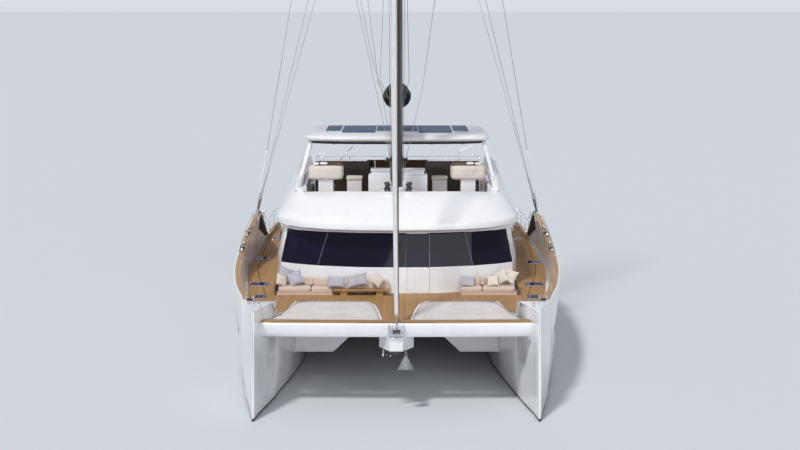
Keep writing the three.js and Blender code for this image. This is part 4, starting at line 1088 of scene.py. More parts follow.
class CATAMARAN_OT_lounge(bpy.types.Operator):
    """Makes the bow lounge and the cockpit's sofa: bases, cushions, pillows, low table and front panel"""

    bl_idname = "catamaran.lounge"
    bl_label = "Bow lounge"

    def execute(self, context):
        side = context.scene.catamaran_sizes.pillow
        low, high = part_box("bow_sofa_port")
        x0, x1, front, floor = low[0], high[0], low[1], low[2]
        seat_top, back_top = floor + 0.24, floor + 0.53
        wall_x = np.array([x0, 2.7, 3.6, x1])
        wall = lambda x: np.interp(x, wall_x, [-5.88, -5.8, -5.43, -5.04])
        outline = [(x0, front + 0.04), (x1, front + 0.04)] + [(x, wall(x)) for x in wall_x[::-1]]
        lip = [(x, y - 0.012 if y < front + 0.1 else y) for x, y in outline]
        bases = [prism(outline, floor - 0.01, floor + 0.1), prism(lip, floor + 0.1, floor + 0.125)]
        seats, backs, behind = [], [], []
        for left, right in ((x0 + 0.01, 3.02), (3.02, x1 - 0.03)):
            a, b = left + 0.008, right - 0.008
            corners = [(a, front + 0.03), (b, front + 0.03), (b, wall(b) - 0.17), (a, wall(a) - 0.17)]
            seats.append(cushion(corners, floor + 0.12, seat_top + 0.02))
        for left, right in ((x0 + 0.01, 2.98), (2.98, 3.62), (3.62, x1 - 0.03)):
            a, b = left + 0.01, right - 0.01
            corners = [(a, wall(a) - 0.18), (b, wall(b) - 0.18), (b, wall(b) - 0.02), (a, wall(a) - 0.02)]
            backs.append(cushion(corners, seat_top, back_top, 5.0))
        for left, right in ((-2.24, -1.25), (-1.25, -0.26)):
            behind.append(pad(left + 0.01, right - 0.01, -6.2, -6.08, floor + 0.05, back_top, 5.0))
        for name, sign in SIDES:
            base = faceted(f"sofa_base_{name}", sided(bases, sign), "beige", 0.012)
            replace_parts(base, f"bow_sofa_{name}")
            puffed(f"sofa_seats_{name}", sided(seats, sign), "beige", 0.012)
            pads = sided(backs, sign) + (behind if sign < 0 else [])
            puffed(f"sofa_backs_{name}", pads, "beige", 0.015)
            end = block((x1 + 0.005, front - 0.02, floor), (x1 + 0.055, -5.35, floor + 0.36))
            faceted(f"sofa_end_{name}", sided([end], sign), "walnut", 0.01)

        # Each pillow: its share of the side, thickness, middle over the seats, angles and how wide it is
        level = seat_top + 0.05
        loose = {
            "beige": ("cream", 0.6, (
                (1.0, 0.16, (-4.08, -5.98, 0.17), (62, 24, 34), 1.0),
                (0.95, 0.15, (-0.68, -6.33, 0.24), (66, 40, -6), 1.0),
                (1.25, 0.18, (3.7, -5.83, 0.26), (60, -32, -24), 1.0),
                (1.2, 0.18, (4.04, -5.68, 0.25), (62, 14, -32), 1.0),
                (1.0, 0.16, (3.4, -6.02, 0.16), (48, -8, -10), 1.0),
            )),
            "grey": ("blue_grey", 0.55, (
                (1.35, 0.2, (-3.96, -5.66, 0.3), (62, 26, 20), 1.0),
                (1.25, 0.2, (-3.6, -5.88, 0.22), (54, -18, 12), 1.0),
                (1.0, 0.16, (-2.13, -6.25, 0.17), (60, 3, 4), 1.45),
                (1.08, 0.17, (-1.4, -6.27, 0.23), (60, -13, -3), 1.6),
                (0.95, 0.14, (2.52, -6.06, 0.15), (58, 3, -4), 1.2),
            )),
        }
        for name, (finish, fill, rows) in loose.items():
            made = [
                pillow(side * share, thick, (x, y, level + z), *angles, wide)
                for share, thick, (x, y, z), angles, wide in rows
            ]
            puffed(f"pillows_{name}", made, finish, 0.012)

        # The cockpit's sofa: a moulded base, five seats and their backs
        low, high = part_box("cockpit_sofa")
        base = [block(low, (high[0], high[1], 3.07)), block((low[0], 8.43, 3.0), (high[0], high[1], 3.5))]
        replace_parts(faceted("cockpit_sofa_base", base, "white", 0.02), "cockpit_sofa")
        width, joint = 0.86, 0.005
        seats, backs = [], []
        for edge in low[0] + width * np.arange(5):
            a, b = edge + joint, edge + width - joint
            seats.append(pad(a, b, 7.6, 8.28, 3.06, 3.245))
            backs.append(pad(a, b, 8.27, 8.44, 3.16, 3.63, 5.0))
        puffed("cockpit_cushions", seats + backs, "beige", 0.012)

        low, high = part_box("bow_table")
        (x0, front, foot), (x1, back, top) = low, high
        parts = [
            block((x0, front, top - 0.035), high),
            block((x0 + 0.02, front + 0.03, foot + 0.005), (x1 - 0.02, back - 0.03, foot + 0.035)),
        ]
        for x in (x0 + 0.25, x1 - 0.49):
            parts.append(block((x, front + 0.05, foot - 0.01), (x + 0.24, back - 0.05, top - 0.03)))
        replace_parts(faceted("bow_table_top", parts, "teak_cross", 0.008), "bow_table")

        # The wide white panel beside the door is flush with it, below the glass
        xs = np.linspace(1.17, 2.19, 9)
        ys = house_front(xs, 3.3)
        panel = slab(columns(xs, ys - 0.018), columns(xs, ys + 0.03), 2.87, 3.735)
        faceted("front_panel", [panel], "white", 0.006)
        return {"FINISHED"}


class CATAMARAN_OT_glazing(bpy.types.Operator):
    """Adds the dark bands that carry the glass across the door, the slanted dividers and glass corners"""

    bl_idname = "catamaran.glazing"
    bl_label = "Glazing"

    def execute(self, context):
        front = (0, -1, 0.12)
        glass_low, glass_high = 3.755, 4.925
        heights = np.linspace(glass_low, glass_high, 7)
        band = lambda x, width: ribbon([on_screen(x, z, 0.002) for z in heights], front, width, 0.006)
        faceted("door_glass_bands", [band(0.33, 0.055), band(1.189, 0.07)], "glass")

        # The leaf's own flaps reach over the room that its swing needs
        for name, zs, finish in (
            ("door_flap_glass", heights, "glass"),
            ("door_flap", np.linspace(2.88, 3.735, 5), "white"),
        ):
            edge = [on_screen(1.09, z, 0.002) + (0.033, 0, 0) for z in zs]
            faceted(name, [ribbon(edge, front, 0.055, 0.006)], finish, body="front_door")
        lines = []
        for low_x, high_x in ((-2.82, -2.45), (1.16, 1.16), (2.72, 2.42)):
            path = [on_screen(x, z, 0.004) for x, z in zip(np.linspace(low_x, high_x, 7), heights)]
            lines.append(ribbon(path, front, 0.022, 0.005))
        faceted("glass_dividers", lines, "seal")

        # The glass runs on to a square corner at its outer top
        corners = []
        rim = 0.003
        for sign, low_x, high_x in ((-1, 2.82, 2.45), (1, 2.72, 2.42)):
            grid = []
            for z in (3.757, 3.757 + rim, *np.linspace(3.85, 4.83, 7), glass_high - rim, glass_high):
                start, end = low_x + (high_x - low_x) * (z - 3.757) / 1.168, 4.15 - 0.17 * (z - 3.75)
                xs = (start, *np.linspace(start + rim, end - rim, 18), end)
                grid.append([on_screen(sign * x, z, 0.0) for x in xs])
            corners.append(laid(np.array(grid), (0, -1, 0)))
        piece("glass_corners", corners, "glass")
        return {"FINISHED"}


def winch(centre, radius=0.105, height=0.27):
    """A sheet winch: flange, waisted drum, crown and socket, a profile turned about the upright."""
    shares = [(0, 0), (1.25, 0), (1.25, 0.1), (0.98, 0.16), (0.74, 0.3), (0.72, 0.55), (0.92, 0.72)]
    shares += [(1, 0.78), (1, 0.9), (0.6, 1), (0.2, 1), (0.2, 0.93), (0, 0.93)]
    return turned([(r * radius, h * height) for r, h in shares], centre, "z", 20)


class CATAMARAN_OT_helm(bpy.types.Operator):
    """Makes the flybridge's fittings: consoles, displays, sofas, bar, winches, lamps and aerials"""

    bl_idname = "catamaran.helm"
    bl_label = "Flybridge"

    def execute(self, context):
        floor, deck = FLY_FLOOR, FLY_FLOOR + context.scene.catamaran_sizes.teak
        low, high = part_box("helm_console_port")
        hood = high[2]
        seat_z = floor + 0.43
        for name, sign in SIDES:
            pod = pillowed((low[0], low[1], 6.42), high, 7.0, 0.35, 18, 48)
            body = piece(f"console_{name}", sided([pod], sign), "cream")
            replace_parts(body, f"helm_console_{name}")
            pedestal = block((2.4, -2.5, floor), (2.96, -1.65, 6.5))
            faceted(f"pedestal_{name}", sided([pedestal], sign), "white", 0.025)
            visor = block((2.06, -2.3, hood - 0.03), (3.04, -2.05, hood + 0.09))
            faceted(f"visor_{name}", sided([visor], sign), "walnut", 0.02)
            pods = [
                pillowed((2.62, -2.36, hood + 0.04), (2.9, -2.2, hood + 0.13)),
                pillowed((2.94, -2.36, hood + 0.03), (3.14, -2.2, hood + 0.12)),
            ]
            piece(f"instrument_pods_{name}", sided(pods, sign), "white")
            back = high[1]
            spans = ((2.12, 2.5, 6.58, 6.82), (2.88, 3.24, 6.58, 6.82), (2.54, 2.84, 6.66, 6.84))
            screens = [block((x0, back - 0.024, z0), (x1, back, z1)) for x0, x1, z0, z1 in spans]
            faceted(f"screens_{name}", sided(screens, sign), "glass", 0.005)
            bowl = [(0, 0), (0.075, 0), (0.075, 0.03), (0.06, 0.07), (0.03, 0.09), (0, 0.095)]
            gear = [
                swept([(3.06, -1.72, 6.5), (3.06, -1.6, 6.55), (3.06, -1.56, 6.66)], 0.012),
                pillowed((3.03, -1.6, 6.65), (3.09, -1.52, 6.72)),
                turned(bowl, (2.74, -1.95, hood - 0.03), "z", 20),
            ]
            piece(f"helm_gear_{name}", sided(gear, sign), "black")

            wheel_low, wheel_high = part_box(f"wheel_{name}")
            hub_x, hub_z = (wheel_low[0] + wheel_high[0]) / 2, (wheel_low[2] + wheel_high[2]) / 2
            turn = np.linspace(0, 2 * np.pi, 48, endpoint=False)
            rim = 0.38
            ring = columns(hub_x + rim * np.cos(turn), -1.3, hub_z + rim * np.sin(turn))
            piece(f"wheel_leather_{name}", [swept(ring, 0.0225, 10, closed=True)], "black", f"wheel_{name}")

            base = [block((1.37, -0.86, floor), (1.95, -0.32, 6.2))]
            seat = faceted(f"helm_seat_base_{name}", sided(base, sign), "white", 0.03)
            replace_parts(seat, f"helm_seat_{name}")
            top = [pad(1.335, 1.985, -0.895, -0.285, 6.195, 6.315)]
            puffed(f"helm_seat_pad_{name}", sided(top, sign), "cream", 0.01)

            under = seat_z - 0.13
            shells = [
                block((1.15, 0.7, floor), (3.28, 0.76, 6.76)),
                block((1.15, 0.8, floor), (3.28, 1.44, under)),
                block((2.65, 1.44, floor), (3.28, 3.5, under)),
                block((1.12, 0.69, floor), (1.2, 0.9, 6.8)),
            ]
            shell = faceted(f"sofa_shell_{name}", sided(shells, sign), "shell", 0.015)
            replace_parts(shell, f"fly_sofa_{name}")
            pads = []
            for x0, x1 in ((1.2, 1.88), (1.9, 2.58), (2.6, 3.26)):
                pads.append(pad(x0, x1, 0.9, 1.44, seat_z - 0.14, seat_z + 0.01))
                pads.append(pad(x0, x1, 0.765, 0.9, seat_z, 6.76, 5.0))
            for y0, y1 in ((1.46, 2.13), (2.14, 2.81), (2.82, 3.49)):
                pads.append(pad(2.66, 3.1, y0, y1, seat_z - 0.14, seat_z + 0.01))
                pads.append(pad(3.12, 3.27, y0, y1, seat_z - 0.02, seat_z + 0.37, 5.0))
            puffed(f"sofa_pads_{name}", sided(pads, sign), "dark", 0.012)

        bench = [
            block((-1.05, 3.17, floor), (1.1, 3.62, floor + 0.3)),
            block((-1.26, 3.72, floor), (1.26, 3.78, 6.43)),
            block((-1.28, 3.69, 6.42), (1.28, 3.82, 6.46)),
        ]
        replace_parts(faceted("bench_shell", bench, "walnut", 0.015), "fly_bench")
        pads = []
        for x0, x1 in ((-1.04, -0.34), (-0.32, 0.38), (0.4, 1.09)):
            pads.append(pad(x0, x1, 3.16, 3.6, floor + 0.29, floor + 0.44))
            pads.append(pad(x0, x1, 3.6, 3.72, floor + 0.42, 6.44, 5.0))
        puffed("bench_pads", pads, "brown", 0.012)

        low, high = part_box("fly_bar")
        body = [block(low, (high[0], high[1], 6.57)), block((-0.97, -2.3, 6.57), (1.03, -1.65, 6.73))]
        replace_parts(faceted("bar", body, "white", 0.025), "fly_bar")
        y = low[1]
        doors = [block((x, y - 0.008, 5.42), (x + 0.68, y + 0.01, 6.5)) for x in (-1.04, -0.31, 0.42)]
        faceted("bar_doors", doors, "white", 0.01)
        faceted("bar_top", [block((-1.0, -2.33, 6.73), (1.06, -1.62, 6.77))], "white", 0.01)

        # Winches stand at the head of the brow, each on its own raised pad
        pads, drums = [], []
        half = 0.15
        stands = ((-0.33, -4.42, 0.34), (0.43, -4.42, 0.34), (-0.36, -3.98, half), (0.46, -3.98, half))
        for x, y, reach in stands:
            pads.append(block((x - half, y - reach, 6.0), (x + half, y + half, 6.27)))
            drums.append(winch((x, y, 6.265)))
        faceted("winch_pads", pads, "white", 0.03)
        piece("winches", drums, "black")

        (_, front, bottom), (_, back, top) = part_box("solar_panels")
        spans = ((0.828, 0.862), (2.208, 2.262), (2.878, 2.908))
        over = 0.03
        ribs = [block((x0, front - over, bottom - 0.01), (x1, back + over, top + 0.012)) for x0, x1 in spans]
        faceted("panel_ribs", both_sides(ribs), "white", 0.006)
        lens = [(0, 0.012), (0.06, 0.012), (0.055, -0.02), (0.03, -0.035), (0, -0.038)]
        spots = [(x, -0.24) for x in (-2.5, -1.29, 1.35, 2.58)]
        spots += [(x, y) for x in (-2.4, 0, 2.4) for y in (1.6, 3.4)]
        piece("hardtop_lamps", [turned(lens, (x, y, HARDTOP_UNDER), "z", 20) for x, y in spots], "lamp")

        rods = (
            ((-2.91, -2.16, 7.0), (-2.91, -2.16, 7.42), (0.012, 0.006)),
            ((-2.76, -2.16, 7.0), (-2.76, -2.16, 7.44), (0.012, 0.006)),
            ((-2.28, -2.1, 6.98), (-1.68, -2.0, 7.63), 0.016),
            ((2.37, -2.1, 6.98), (2.35, -2.05, 7.46), 0.012),
            ((-0.83, -2.1, 6.75), (-0.83, -2.1, 7.15), 0.014),
        )
        piece("aerials", [swept([foot, head], radius) for foot, head, radius in rods], "steel")
        plate, faces = block((-0.26, -0.05, -0.035), (0.26, 0.05, 0.035))
        plates = [
            (turned_by(plate, 0, -24, 0, (2.6, -2.05, 7.56)), faces),
            (plate * (1.38, 1, 0.9) + (-0.85, -2.1, 7.18), faces),
        ]
        faceted("screens_on_posts", plates, "white", 0.01)
        low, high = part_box("fly_table")
        top = [block((low[0], low[1], high[2] - 0.04), high)]
        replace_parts(faceted("fly_table_top", top, "teak", 0.012), "fly_table")
        profile = [(0, 0), (0.24, 0), (0.24, 0.02), (0.07, 0.06), (0.06, 0.55), (0.16, 0.61), (0, 0.61)]
        piece("fly_table_foot", [turned(profile, (0, 2.2, deck))], "steel")
        return {"FINISHED"}


def cleat(centre, length, yaw=0.0):
    """A horn cleat: turned legs under a bar that rises with the square of the way out and tapers."""
    t = np.linspace(-1, 1, 13)
    bar = columns(0, t * length / 2, 0.085 + 0.022 * t**2)
    parts = [swept(bar, 0.017 * (1 - 0.55 * np.abs(t) ** 3))]
    leg = [(0, 0), (0.036, 0), (0.034, 0.012), (0.015, 0.035), (0.016, 0.09), (0, 0.09)]
    for y in (-length * 0.17, length * 0.17):
        parts.append(turned(leg, (0, y, 0), "z", 12))
    return [(turned_by(points, 0, 0, yaw, centre), faces) for points, faces in parts]


def flush_hatch(x0, x1, y0, y1, z):
    """A deck hatch: a dark pane in a thin steel frame."""
    pane = block((x0, y0, z - 0.01), (x1, y1, z + 0.016))
    path = [(x, y, z + 0.01) for x, y in ((x0, y0), (x1, y0), (x1, y1), (x0, y1))]
    ring = np.concatenate([np.linspace(a, b, 8, endpoint=False) for a, b in zip(path, path[1:] + path[:1])])
    return pane, swept(ring, 0.008, 6, closed=True)


def laced_net(inner, height):
    """A net over an outline: rings that shrink to its middle and sag towards it, and an underside."""
    centre, count = inner.mean(0), len(inner)
    sag = ((0.02, 0.03), (0.25, 0.028), (0.5, 0.018), (0.75, 0.005), (0.93, 0.0), (1.0, 0.0))
    rings = [columns(*(centre + (inner - centre) * share).T, height - drop) for share, drop in sag]
    points = np.concatenate(rings)
    total = len(points)
    faces = grid_faces(len(sag), count, False, True) + [list(range(count))]
    faces += [[v + total for v in face[::-1]] for face in faces]
    faces += band_faces(total - count, 2 * total - count, count)
    return np.concatenate([points, points - (0, 0, 0.012)]), faces


class CATAMARAN_OT_bow(bpy.types.Operator):
    """Makes the bow's gear: nets and their lacing, cleats, fairleads, hatches, furler and anchor roller"""

    bl_idname = "catamaran.bow"
    bl_label = "Bow gear"

    def execute(self, context):
        # Each net is laced to the beam, walkway, deck edge and hull, and rounded at its corners
        edge_z, net_z = DECK_Z - 0.01, DECK_Z + 0.008
        front, back = -10.37, -7.33
        hull_x = lambda y: np.interp(y, [-10.38, -9.52, -9.5, -7.3], [4.23, 3.95, 3.92, 3.42])
        outline = [(0.46, front), (hull_x(front) - 0.02, front), (hull_x(-9.3), -9.3)]
        outline += [(3.42, back), (0.86, back), (0.63, -8.7)]
        inner = rounded(shrunk(outline, 0.05), 0.55, 9)
        edges = []
        lace_gap = 0.16
        for a, b in zip(outline, outline[1:] + outline[:1]):
            count = max(3, int(np.linalg.norm(np.subtract(b, a)) / lace_gap))
            edges.append(np.linspace(a, b, count, endpoint=False))
        outer = np.concatenate(edges)
        lacing = []
        for point in outer:
            near = inner[np.argmin(np.linalg.norm(inner - point, axis=1))]
            lacing.append(swept([(*point, edge_z), (*near, net_z)], 0.006, 5))
        lacing.append(swept(columns(*outer.T, edge_z), 0.009, 5, closed=True))
        hem = [swept(columns(*inner.T, net_z), 0.011, 6, closed=True)]
        for name, sign in SIDES:
            net = piece(f"laced_net_{name}", sided([laced_net(inner, net_z)], sign), "net")
            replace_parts(net, f"net_{name}")
            piece(f"net_hem_{name}", sided(hem, sign), "pale_rope")
            piece(f"net_lacing_{name}", sided(lacing, sign), "pale_rope")

        steel = []
        for x, y in ((4.42, -10.35), (4.66, -9.95)):
            steel += cleat((x, y, top_of(["hull_port"], x, y)), 0.4, 4)

        # A fairlead closes the front end of the cap rail: a steel frame round a dark slot
        steel.append(block((4.66, -9.66, 3.33), (4.96, -9.38, 3.36)))
        horn = [(0, 0), (0.028, 0), (0.02, 0.05), (0.028, 0.15), (0, 0.16)]
        for x in (4.7, 4.92):
            steel.append(turned(horn, (x, -9.52, 3.35), "z", 12))
        steel.append(block((3.93, -9.74, 3.16), (4.03, -9.49, 3.345)))
        slot = swept([(4.71, -9.52, 3.385), (4.91, -9.52, 3.385)], 0.026, 10)
        panes, frames = [], []
        for sign, middle in ((1, -0.31), (-1, 0.61)):
            for x0, x1, y0, y1 in (
                (4.57, 4.95, -6.95, -6.4),
                (4.69, 5.34, -4.8, -4.25),
                (5.16, 5.68, middle - 0.27, middle + 0.27),
                (5.05, 5.45, 4.95, 5.5),
            ):
                pane, ring = flush_hatch(x0, x1, y0, y1, DECK_Z + 0.012)
                panes += sided([pane], sign)
                frames += sided([ring], sign)
        piece("bow_steel", both_sides(steel), "steel", round_edges=0.006)
        faceted("fairlead_slots", both_sides([slot]), "black")
        faceted("deck_hatch_panes", panes, "hatch", 0.008)
        piece("deck_hatch_frames", frames, "steel")

        # The furler: a drum between two cheeks that stand on the beam's front face
        y = -11.0
        cage = [block((x - 0.012, y - 0.06, 2.5), (x + 0.012, y + 0.13, 2.87)) for x in (-0.24, 0.24)]
        cage += [swept([(-0.25, y - 0.05, z), (0.25, y - 0.05, z)], 0.018) for z in (2.53, 2.84)]
        flange = 0.14
        drum = [(0, -0.02), (flange, -0.02), (flange, 0), (0.095, 0.01), (0.095, 0.12), (flange, 0.13)]
        drum += [(flange, 0.15), (0, 0.15)]
        cage.append(turned(drum, (0.0, y, 2.61), "z", 28))
        cage.append(swept([(0, y, 2.74), (0, -10.95, 2.92), (0, -10.84, 2.99), (0, -10.75, 3.05)], 0.025))
        piece("furler_cage", cage, "steel", round_edges=0.004)
        turns = np.linspace(0, 10 * np.pi, 120)
        coil = columns(0.105 * np.cos(turns), y + 0.105 * np.sin(turns), 2.637 + turns * 0.0026)
        piece("furling_line_turns", [swept(coil, 0.013, 6)], "rope")

        paths = [[(x, -10.3, 1.96), (x, -10.85, 1.94), (x, -11.02, 1.86)] for x in (-0.42, -0.2)]
        piece("anchor_roller_cheeks", [swept(path, 0.035, 6) for path in paths], "steel")
        waist = [(0, -0.1), (0.07, -0.1), (0.045, 0), (0.07, 0.1), (0, 0.1)]
        wheel = turned(waist, (-0.31, -10.98, 1.88), "x", 20)
        bar = swept([(-0.22, -10.99, 1.93), (0.24, -10.99, 1.93)], 0.045, 10)
        piece("anchor_roller", [wheel, bar], "black")
        ring = [(0.0, -0.03), (0.05, -0.03), (0.06, 0), (0.05, 0.03), (0.0, 0.03)]
        piece("anchor_shackle", [turned(ring, (0.3, -11.02, 1.97), "x", 18)], "galvanised")
        faceted("beam_bracket", [block((4.22, -10.74, 2.3), (4.36, -10.6, 2.46))], "steel", 0.01)
        return {"FINISHED"}


def rolled_sail(foot, head, radii, pitch=1.9, rows=300, cols=28):
    """A sail rolled round its stay, with fine creases from two sines of the angle and the height.

    Round each turn the radius grows with the square of the angle and then steps back, and the step climbs
    the roll as a spiral.
    """
    t = np.linspace(0, 1, rows)
    centre = np.asarray(foot, float) * (1 - t[:, None]) + np.asarray(head, float) * t[:, None]
    centre[:, 0] -= stay_bow(t)
    radius = np.interp(t, [0, 0.3, 0.97, 1], radii)[:, None]
    a = np.linspace(0, 2 * np.pi, cols, endpoint=False)[None, :]
    length = np.linalg.norm(np.subtract(head, foot))
    turn = np.mod(a - t[:, None] * length / pitch, 2 * np.pi) / (2 * np.pi)
    creases = 0.02 * np.sin(5 * a + 17 * t[:, None]) + 0.015 * np.sin(9 * a - 31 * t[:, None])
    r = radius * (0.9 + 0.17 * turn**2 + creases)
    offsets = np.stack([r * np.cos(a), r * np.sin(a), 0 * r], -1)
    return (centre[:, None] + offsets).reshape(-1, 3), tube_faces(rows, cols)


def stay_bow(t):
    """How far the rolled sail hangs to starboard: half a sine wave over the lower part of its height."""
    depth, reach = 0.07, 0.62
    return depth * np.sin(np.pi * np.clip(t / reach, 0, 1))


def bag_body(rows=60, cols=26):
    """The sail bag: superellipse sections that narrow upwards and aft and sag between the lazy jacks.

    The sag is the square of a sine along the boom, and a small sine round the section gives folds.
    """
    low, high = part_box("sail_bag")
    y = np.linspace(low[1], high[1], rows)[:, None]
    s = (y - low[1]) / (high[1] - low[1])
    a = np.linspace(-0.5 * np.pi, 1.5 * np.pi, cols, endpoint=False)[None, :]
    half = np.interp(s, [0, 0.15, 0.6, 1], [0.5, 0.56, 0.47, 0.27])
    top = high[2] - np.interp(s, [0, 0.15, 0.6, 1], [0.04, 0, 0.17, 0.42])
    sag = 0.02 * np.sin(s * np.pi * 11) ** 2
    narrow = 1 - 0.45 * np.clip(np.sin(a), 0, 1) ** 1.4
    x = (half - sag) * blunted(np.cos(a), 2.4) * narrow
    x = x + 0.012 * np.sin(9 * a + s * 40) * np.abs(np.cos(a))
    z = (top + low[2]) / 2 + (top - low[2]) / 2 * blunted(np.sin(a), 2.1)
    points = np.stack(np.broadcast_arrays(x, y, z), -1)
    return points.reshape(-1, 3), tube_faces(rows, cols)


class CATAMARAN_OT_rigging(bpy.types.Operator):
    """Makes the rig: rolled headsail, sail bag, shroud gear, lazy jacks, halyards and mast fittings"""

    bl_idname = "catamaran.rigging"
    bl_label = "Rigging"

    def execute(self, context):
        radius = context.scene.catamaran_sizes.line
        foot, head = np.array([0, -10.76, 3.0]), np.array([0, -3.9, 33.2])
        along = lambda t: foot * (1 - t) + head * t
        tack, peak = 0.004, 0.93
        roll = rolled_sail(along(tack), along(peak), [0.07, 0.108, 0.07, 0.03])
        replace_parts(piece("rolled_headsail", [roll], "sail"), "headsail")

        # A dark strip lies as a fold down the roll's port side, along its edge
        t = np.linspace(0.006, 0.925, 120)
        edge = np.array([along(s) for s in t])
        edge[:, 0] += np.interp(t, [0, 0.3, 0.97], [0.062, 0.1, 0.065]) - stay_bow(t)
        widths = np.interp(t, [0, 0.15, 0.4, 1], [0.022, 0.045, 0.045, 0.03])
        piece("port_dark_strip", [swept(edge, widths, 10)], "black")
        stay_top = min(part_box("headsail")[1][2], 32.5)
        reach = (stay_top - foot[2]) / (head[2] - foot[2])
        stay = [line_through([along(a), along(b)], 0.016) for a, b in ((0, tack), (peak, reach))]
        swivel = [(0, -0.12), (0.045, -0.12), (0.06, -0.05), (0.06, 0.05), (0.045, 0.12), (0, 0.12)]
        piece("headstay", [*stay, turned(swivel, along(0.935), "z", 18)], "steel")

        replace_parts(puffed("boom_bag", [bag_body()], "bag", 0.03, "boom"), "sail_bag")
        straps = []
        for y in np.linspace(-2.4, 6.5, 12):
            s = (y - BOOM_LOW[1]) / (BOOM_HIGH[1] - BOOM_LOW[1])
            z = np.interp(s, [0.05, 0.2, 0.62, 1], [9.9, 9.93, 9.76, 9.5])
            straps.append(block((-0.09, y - 0.02, z - 0.02), (0.09, y + 0.02, z + 0.02)))
        faceted("bag_straps", straps, "black", 0.006, "boom")

        # Shroud gear follows each wire from its chainplate
        covers, bodies, thirds = [], [], []
        plate_x = 5.625
        for y, z_head in ((0.56, 34.3), (0.96, 25.6)):
            start, end = np.array([plate_x, y, 4.715]), np.array([0, MAST_Y, z_head])
            unit = (end - start) / np.linalg.norm(end - start)
            at = lambda d: start + unit * d
            radii = [0.02] * 14 + [0.045] * 14 + [0.02] * 15
            bodies.append(line_through([at(0.1), at(0.16), at(0.62), at(0.68)], radii))
            bodies.append(swept([start, at(0.12)], 0.03, 10))
            if y < 0.9:
                covers.append(line_through([at(0.75), at(2.6)], 0.042, 14, 10))
            else:
                thirds.append(line_through([at(0.7) + (0, 0.1, 0), end + (0.27, 0, -3.2)], 0.012))
        piece("turnbuckles", both_sides(bodies), "steel")
        piece("shroud_covers", both_sides(covers), "white")
        piece("third_shrouds", both_sides(thirds), "steel")

        # Lazy jacks, halyards and lifts, each by the points that its line passes through
        port_jack = [(2.03, -3.86, 16.25), (1.36, -3.7, 13.08), (0.94, -3.5, 9.96), (0.64, -3.45, 8.64)]
        outer_jack = [(-2.03, -3.86, 16.25), (-1.45, -3.6, 13.08), (-0.76, -3.5, 9.86), (-0.5, -3.45, 8.64)]
        inner_jack = [(-1.9, -3.84, 16.24), (-0.9, -3.55, 11.0), (-0.56, -3.5, 9.86), (-0.3, -3.45, 8.3)]
        lines = (
            outer_jack + [(-0.24, -3.4, 7.26), (-0.2, -3.4, 6.5)],
            [(-1.43, -3.75, 16.22), (-0.68, -3.2, 10.1), (-0.42, -2.98, 9.55)],
            inner_jack + [(-0.22, -3.42, 6.5)],
            [(-0.16, -3.4, 20.4), (-0.62, -3.1, 10.2), (-0.3, -2.98, 9.5)],
            [(0.16, -3.4, 22.0), (0.45, -3.1, 10.26), (0.3, -2.98, 9.5)],
            port_jack + [(0.38, -3.4, 7.5), (0.22, -3.4, 6.55)],
            [(1.8, -3.83, 16.22), (1.1, -3.6, 11.1), (0.94, -3.52, 9.96)],
            [(0.3, -3.42, 16.2), (0.235, -3.4, 6.5)],
            [(-0.3, -3.5, 16.2), (-0.235, -3.5, 6.5)],
        )
        piece("running_lines", [line_through(path, radius) for path in lines], "pale_rope")

        faceted("mast_track", [block((-0.03, MAST_Y + 0.365, 9.7), (0.03, MAST_Y + 0.4, 23.8))], "steel")
        collar, faces = turned([(0, 0), (0.3, 0), (0.3, 0.05), (0.25, 0.09), (0, 0.09)], (0, 0, 0), "z", 28)
        piece("mast_collar", [(collar * (1, 1.6, 1) + (0, MAST_Y, 6.24), faces)], "white")
        drum, faces = winch((0, 0, 0), 0.08, 0.2)
        at_mast = lambda sign: turned_by(drum, 0, 90 * sign, 0, (sign * 0.2, MAST_Y + 0.1, 7.3))
        piece("mast_winches", [(at_mast(sign), faces) for _, sign in SIDES], "black")
        tip = [(0, -0.04), (0.05, -0.03), (0.06, 0), (0.05, 0.03), (0, 0.04)]
        ends = [(sign * x, -3.86, z) for _, sign in SIDES for x, z in ((2.05, 16.26), (1.45, 25.06))]
        piece("spreader_tips", [turned(tip, end, "x", 14) for end in ends], "carbon")
        return {"FINISHED"}


def guardrail(path, foot, radius, wires=1):
    """A rail over a foot line: a top tube, thinner wires at even heights below it, and stanchions."""
    spacing = 1.5
    path, foot = np.asarray(path, float), np.asarray(foot, float)
    parts = [swept(path, radius)]
    for k in range(1, wires + 1):
        parts.append(swept(foot + (path - foot) * k / (wires + 1), radius * 0.4, 6))
    spans = np.cumsum(np.linalg.norm(np.diff(path, axis=0), axis=1))
    count = max(2, int(round(spans[-1] / spacing)) + 1)
    base = [(0, 0), (0.04, 0), (0.035, 0.015), (0.02, 0.04), (0, 0.04)]
    for index in np.unique(np.linspace(0, len(path) - 1, count).round().astype(int)):
        parts.append(swept([foot[index], path[index]], radius * 0.9))
        parts.append(turned(base, foot[index], "z", 12))
    return parts


def plough(centre):
    """An anchor at the roller: a fluke that widens with a power of its depth, a heel, shank and eye."""
    down = np.linspace(0, 1, 12)[:, None]
    across = np.linspace(-1, 1, 15)[None, :]
    x = (0.035 + 0.235 * down**0.9) * across
    z = -0.03 - 0.4 * down - 0.035 * across**2 * down
    y = 0.04 - 0.1 * down - 0.07 * down * (1 - np.abs(across) ** 1.4)
    fluke = np.stack([x, y, z], -1)
    heel = fluke[-1]
    turn = np.linspace(0, 2 * np.pi, 16, endpoint=False)
    eye = columns(0.05 * np.cos(turn), 0.03, 0.02 + 0.05 * np.sin(turn))
    parts = [
        laid(fluke, (0, -1, 0), 0.012, 0.024),
        swept(heel, 0.02),
        swept([heel[7] + (0, 0.03, 0.02), (0, 0.1, -0.2), (0, 0.09, 0.02)], (0.026, 0.03, 0.028)),
        block((-0.03, 0.08, -0.02), (0.03, 1.08, 0.1)),
        swept(eye, 0.014, 6, closed=True),
    ]
    return [(np.asarray(p, float) + np.asarray(centre, float), f) for p, f in parts]


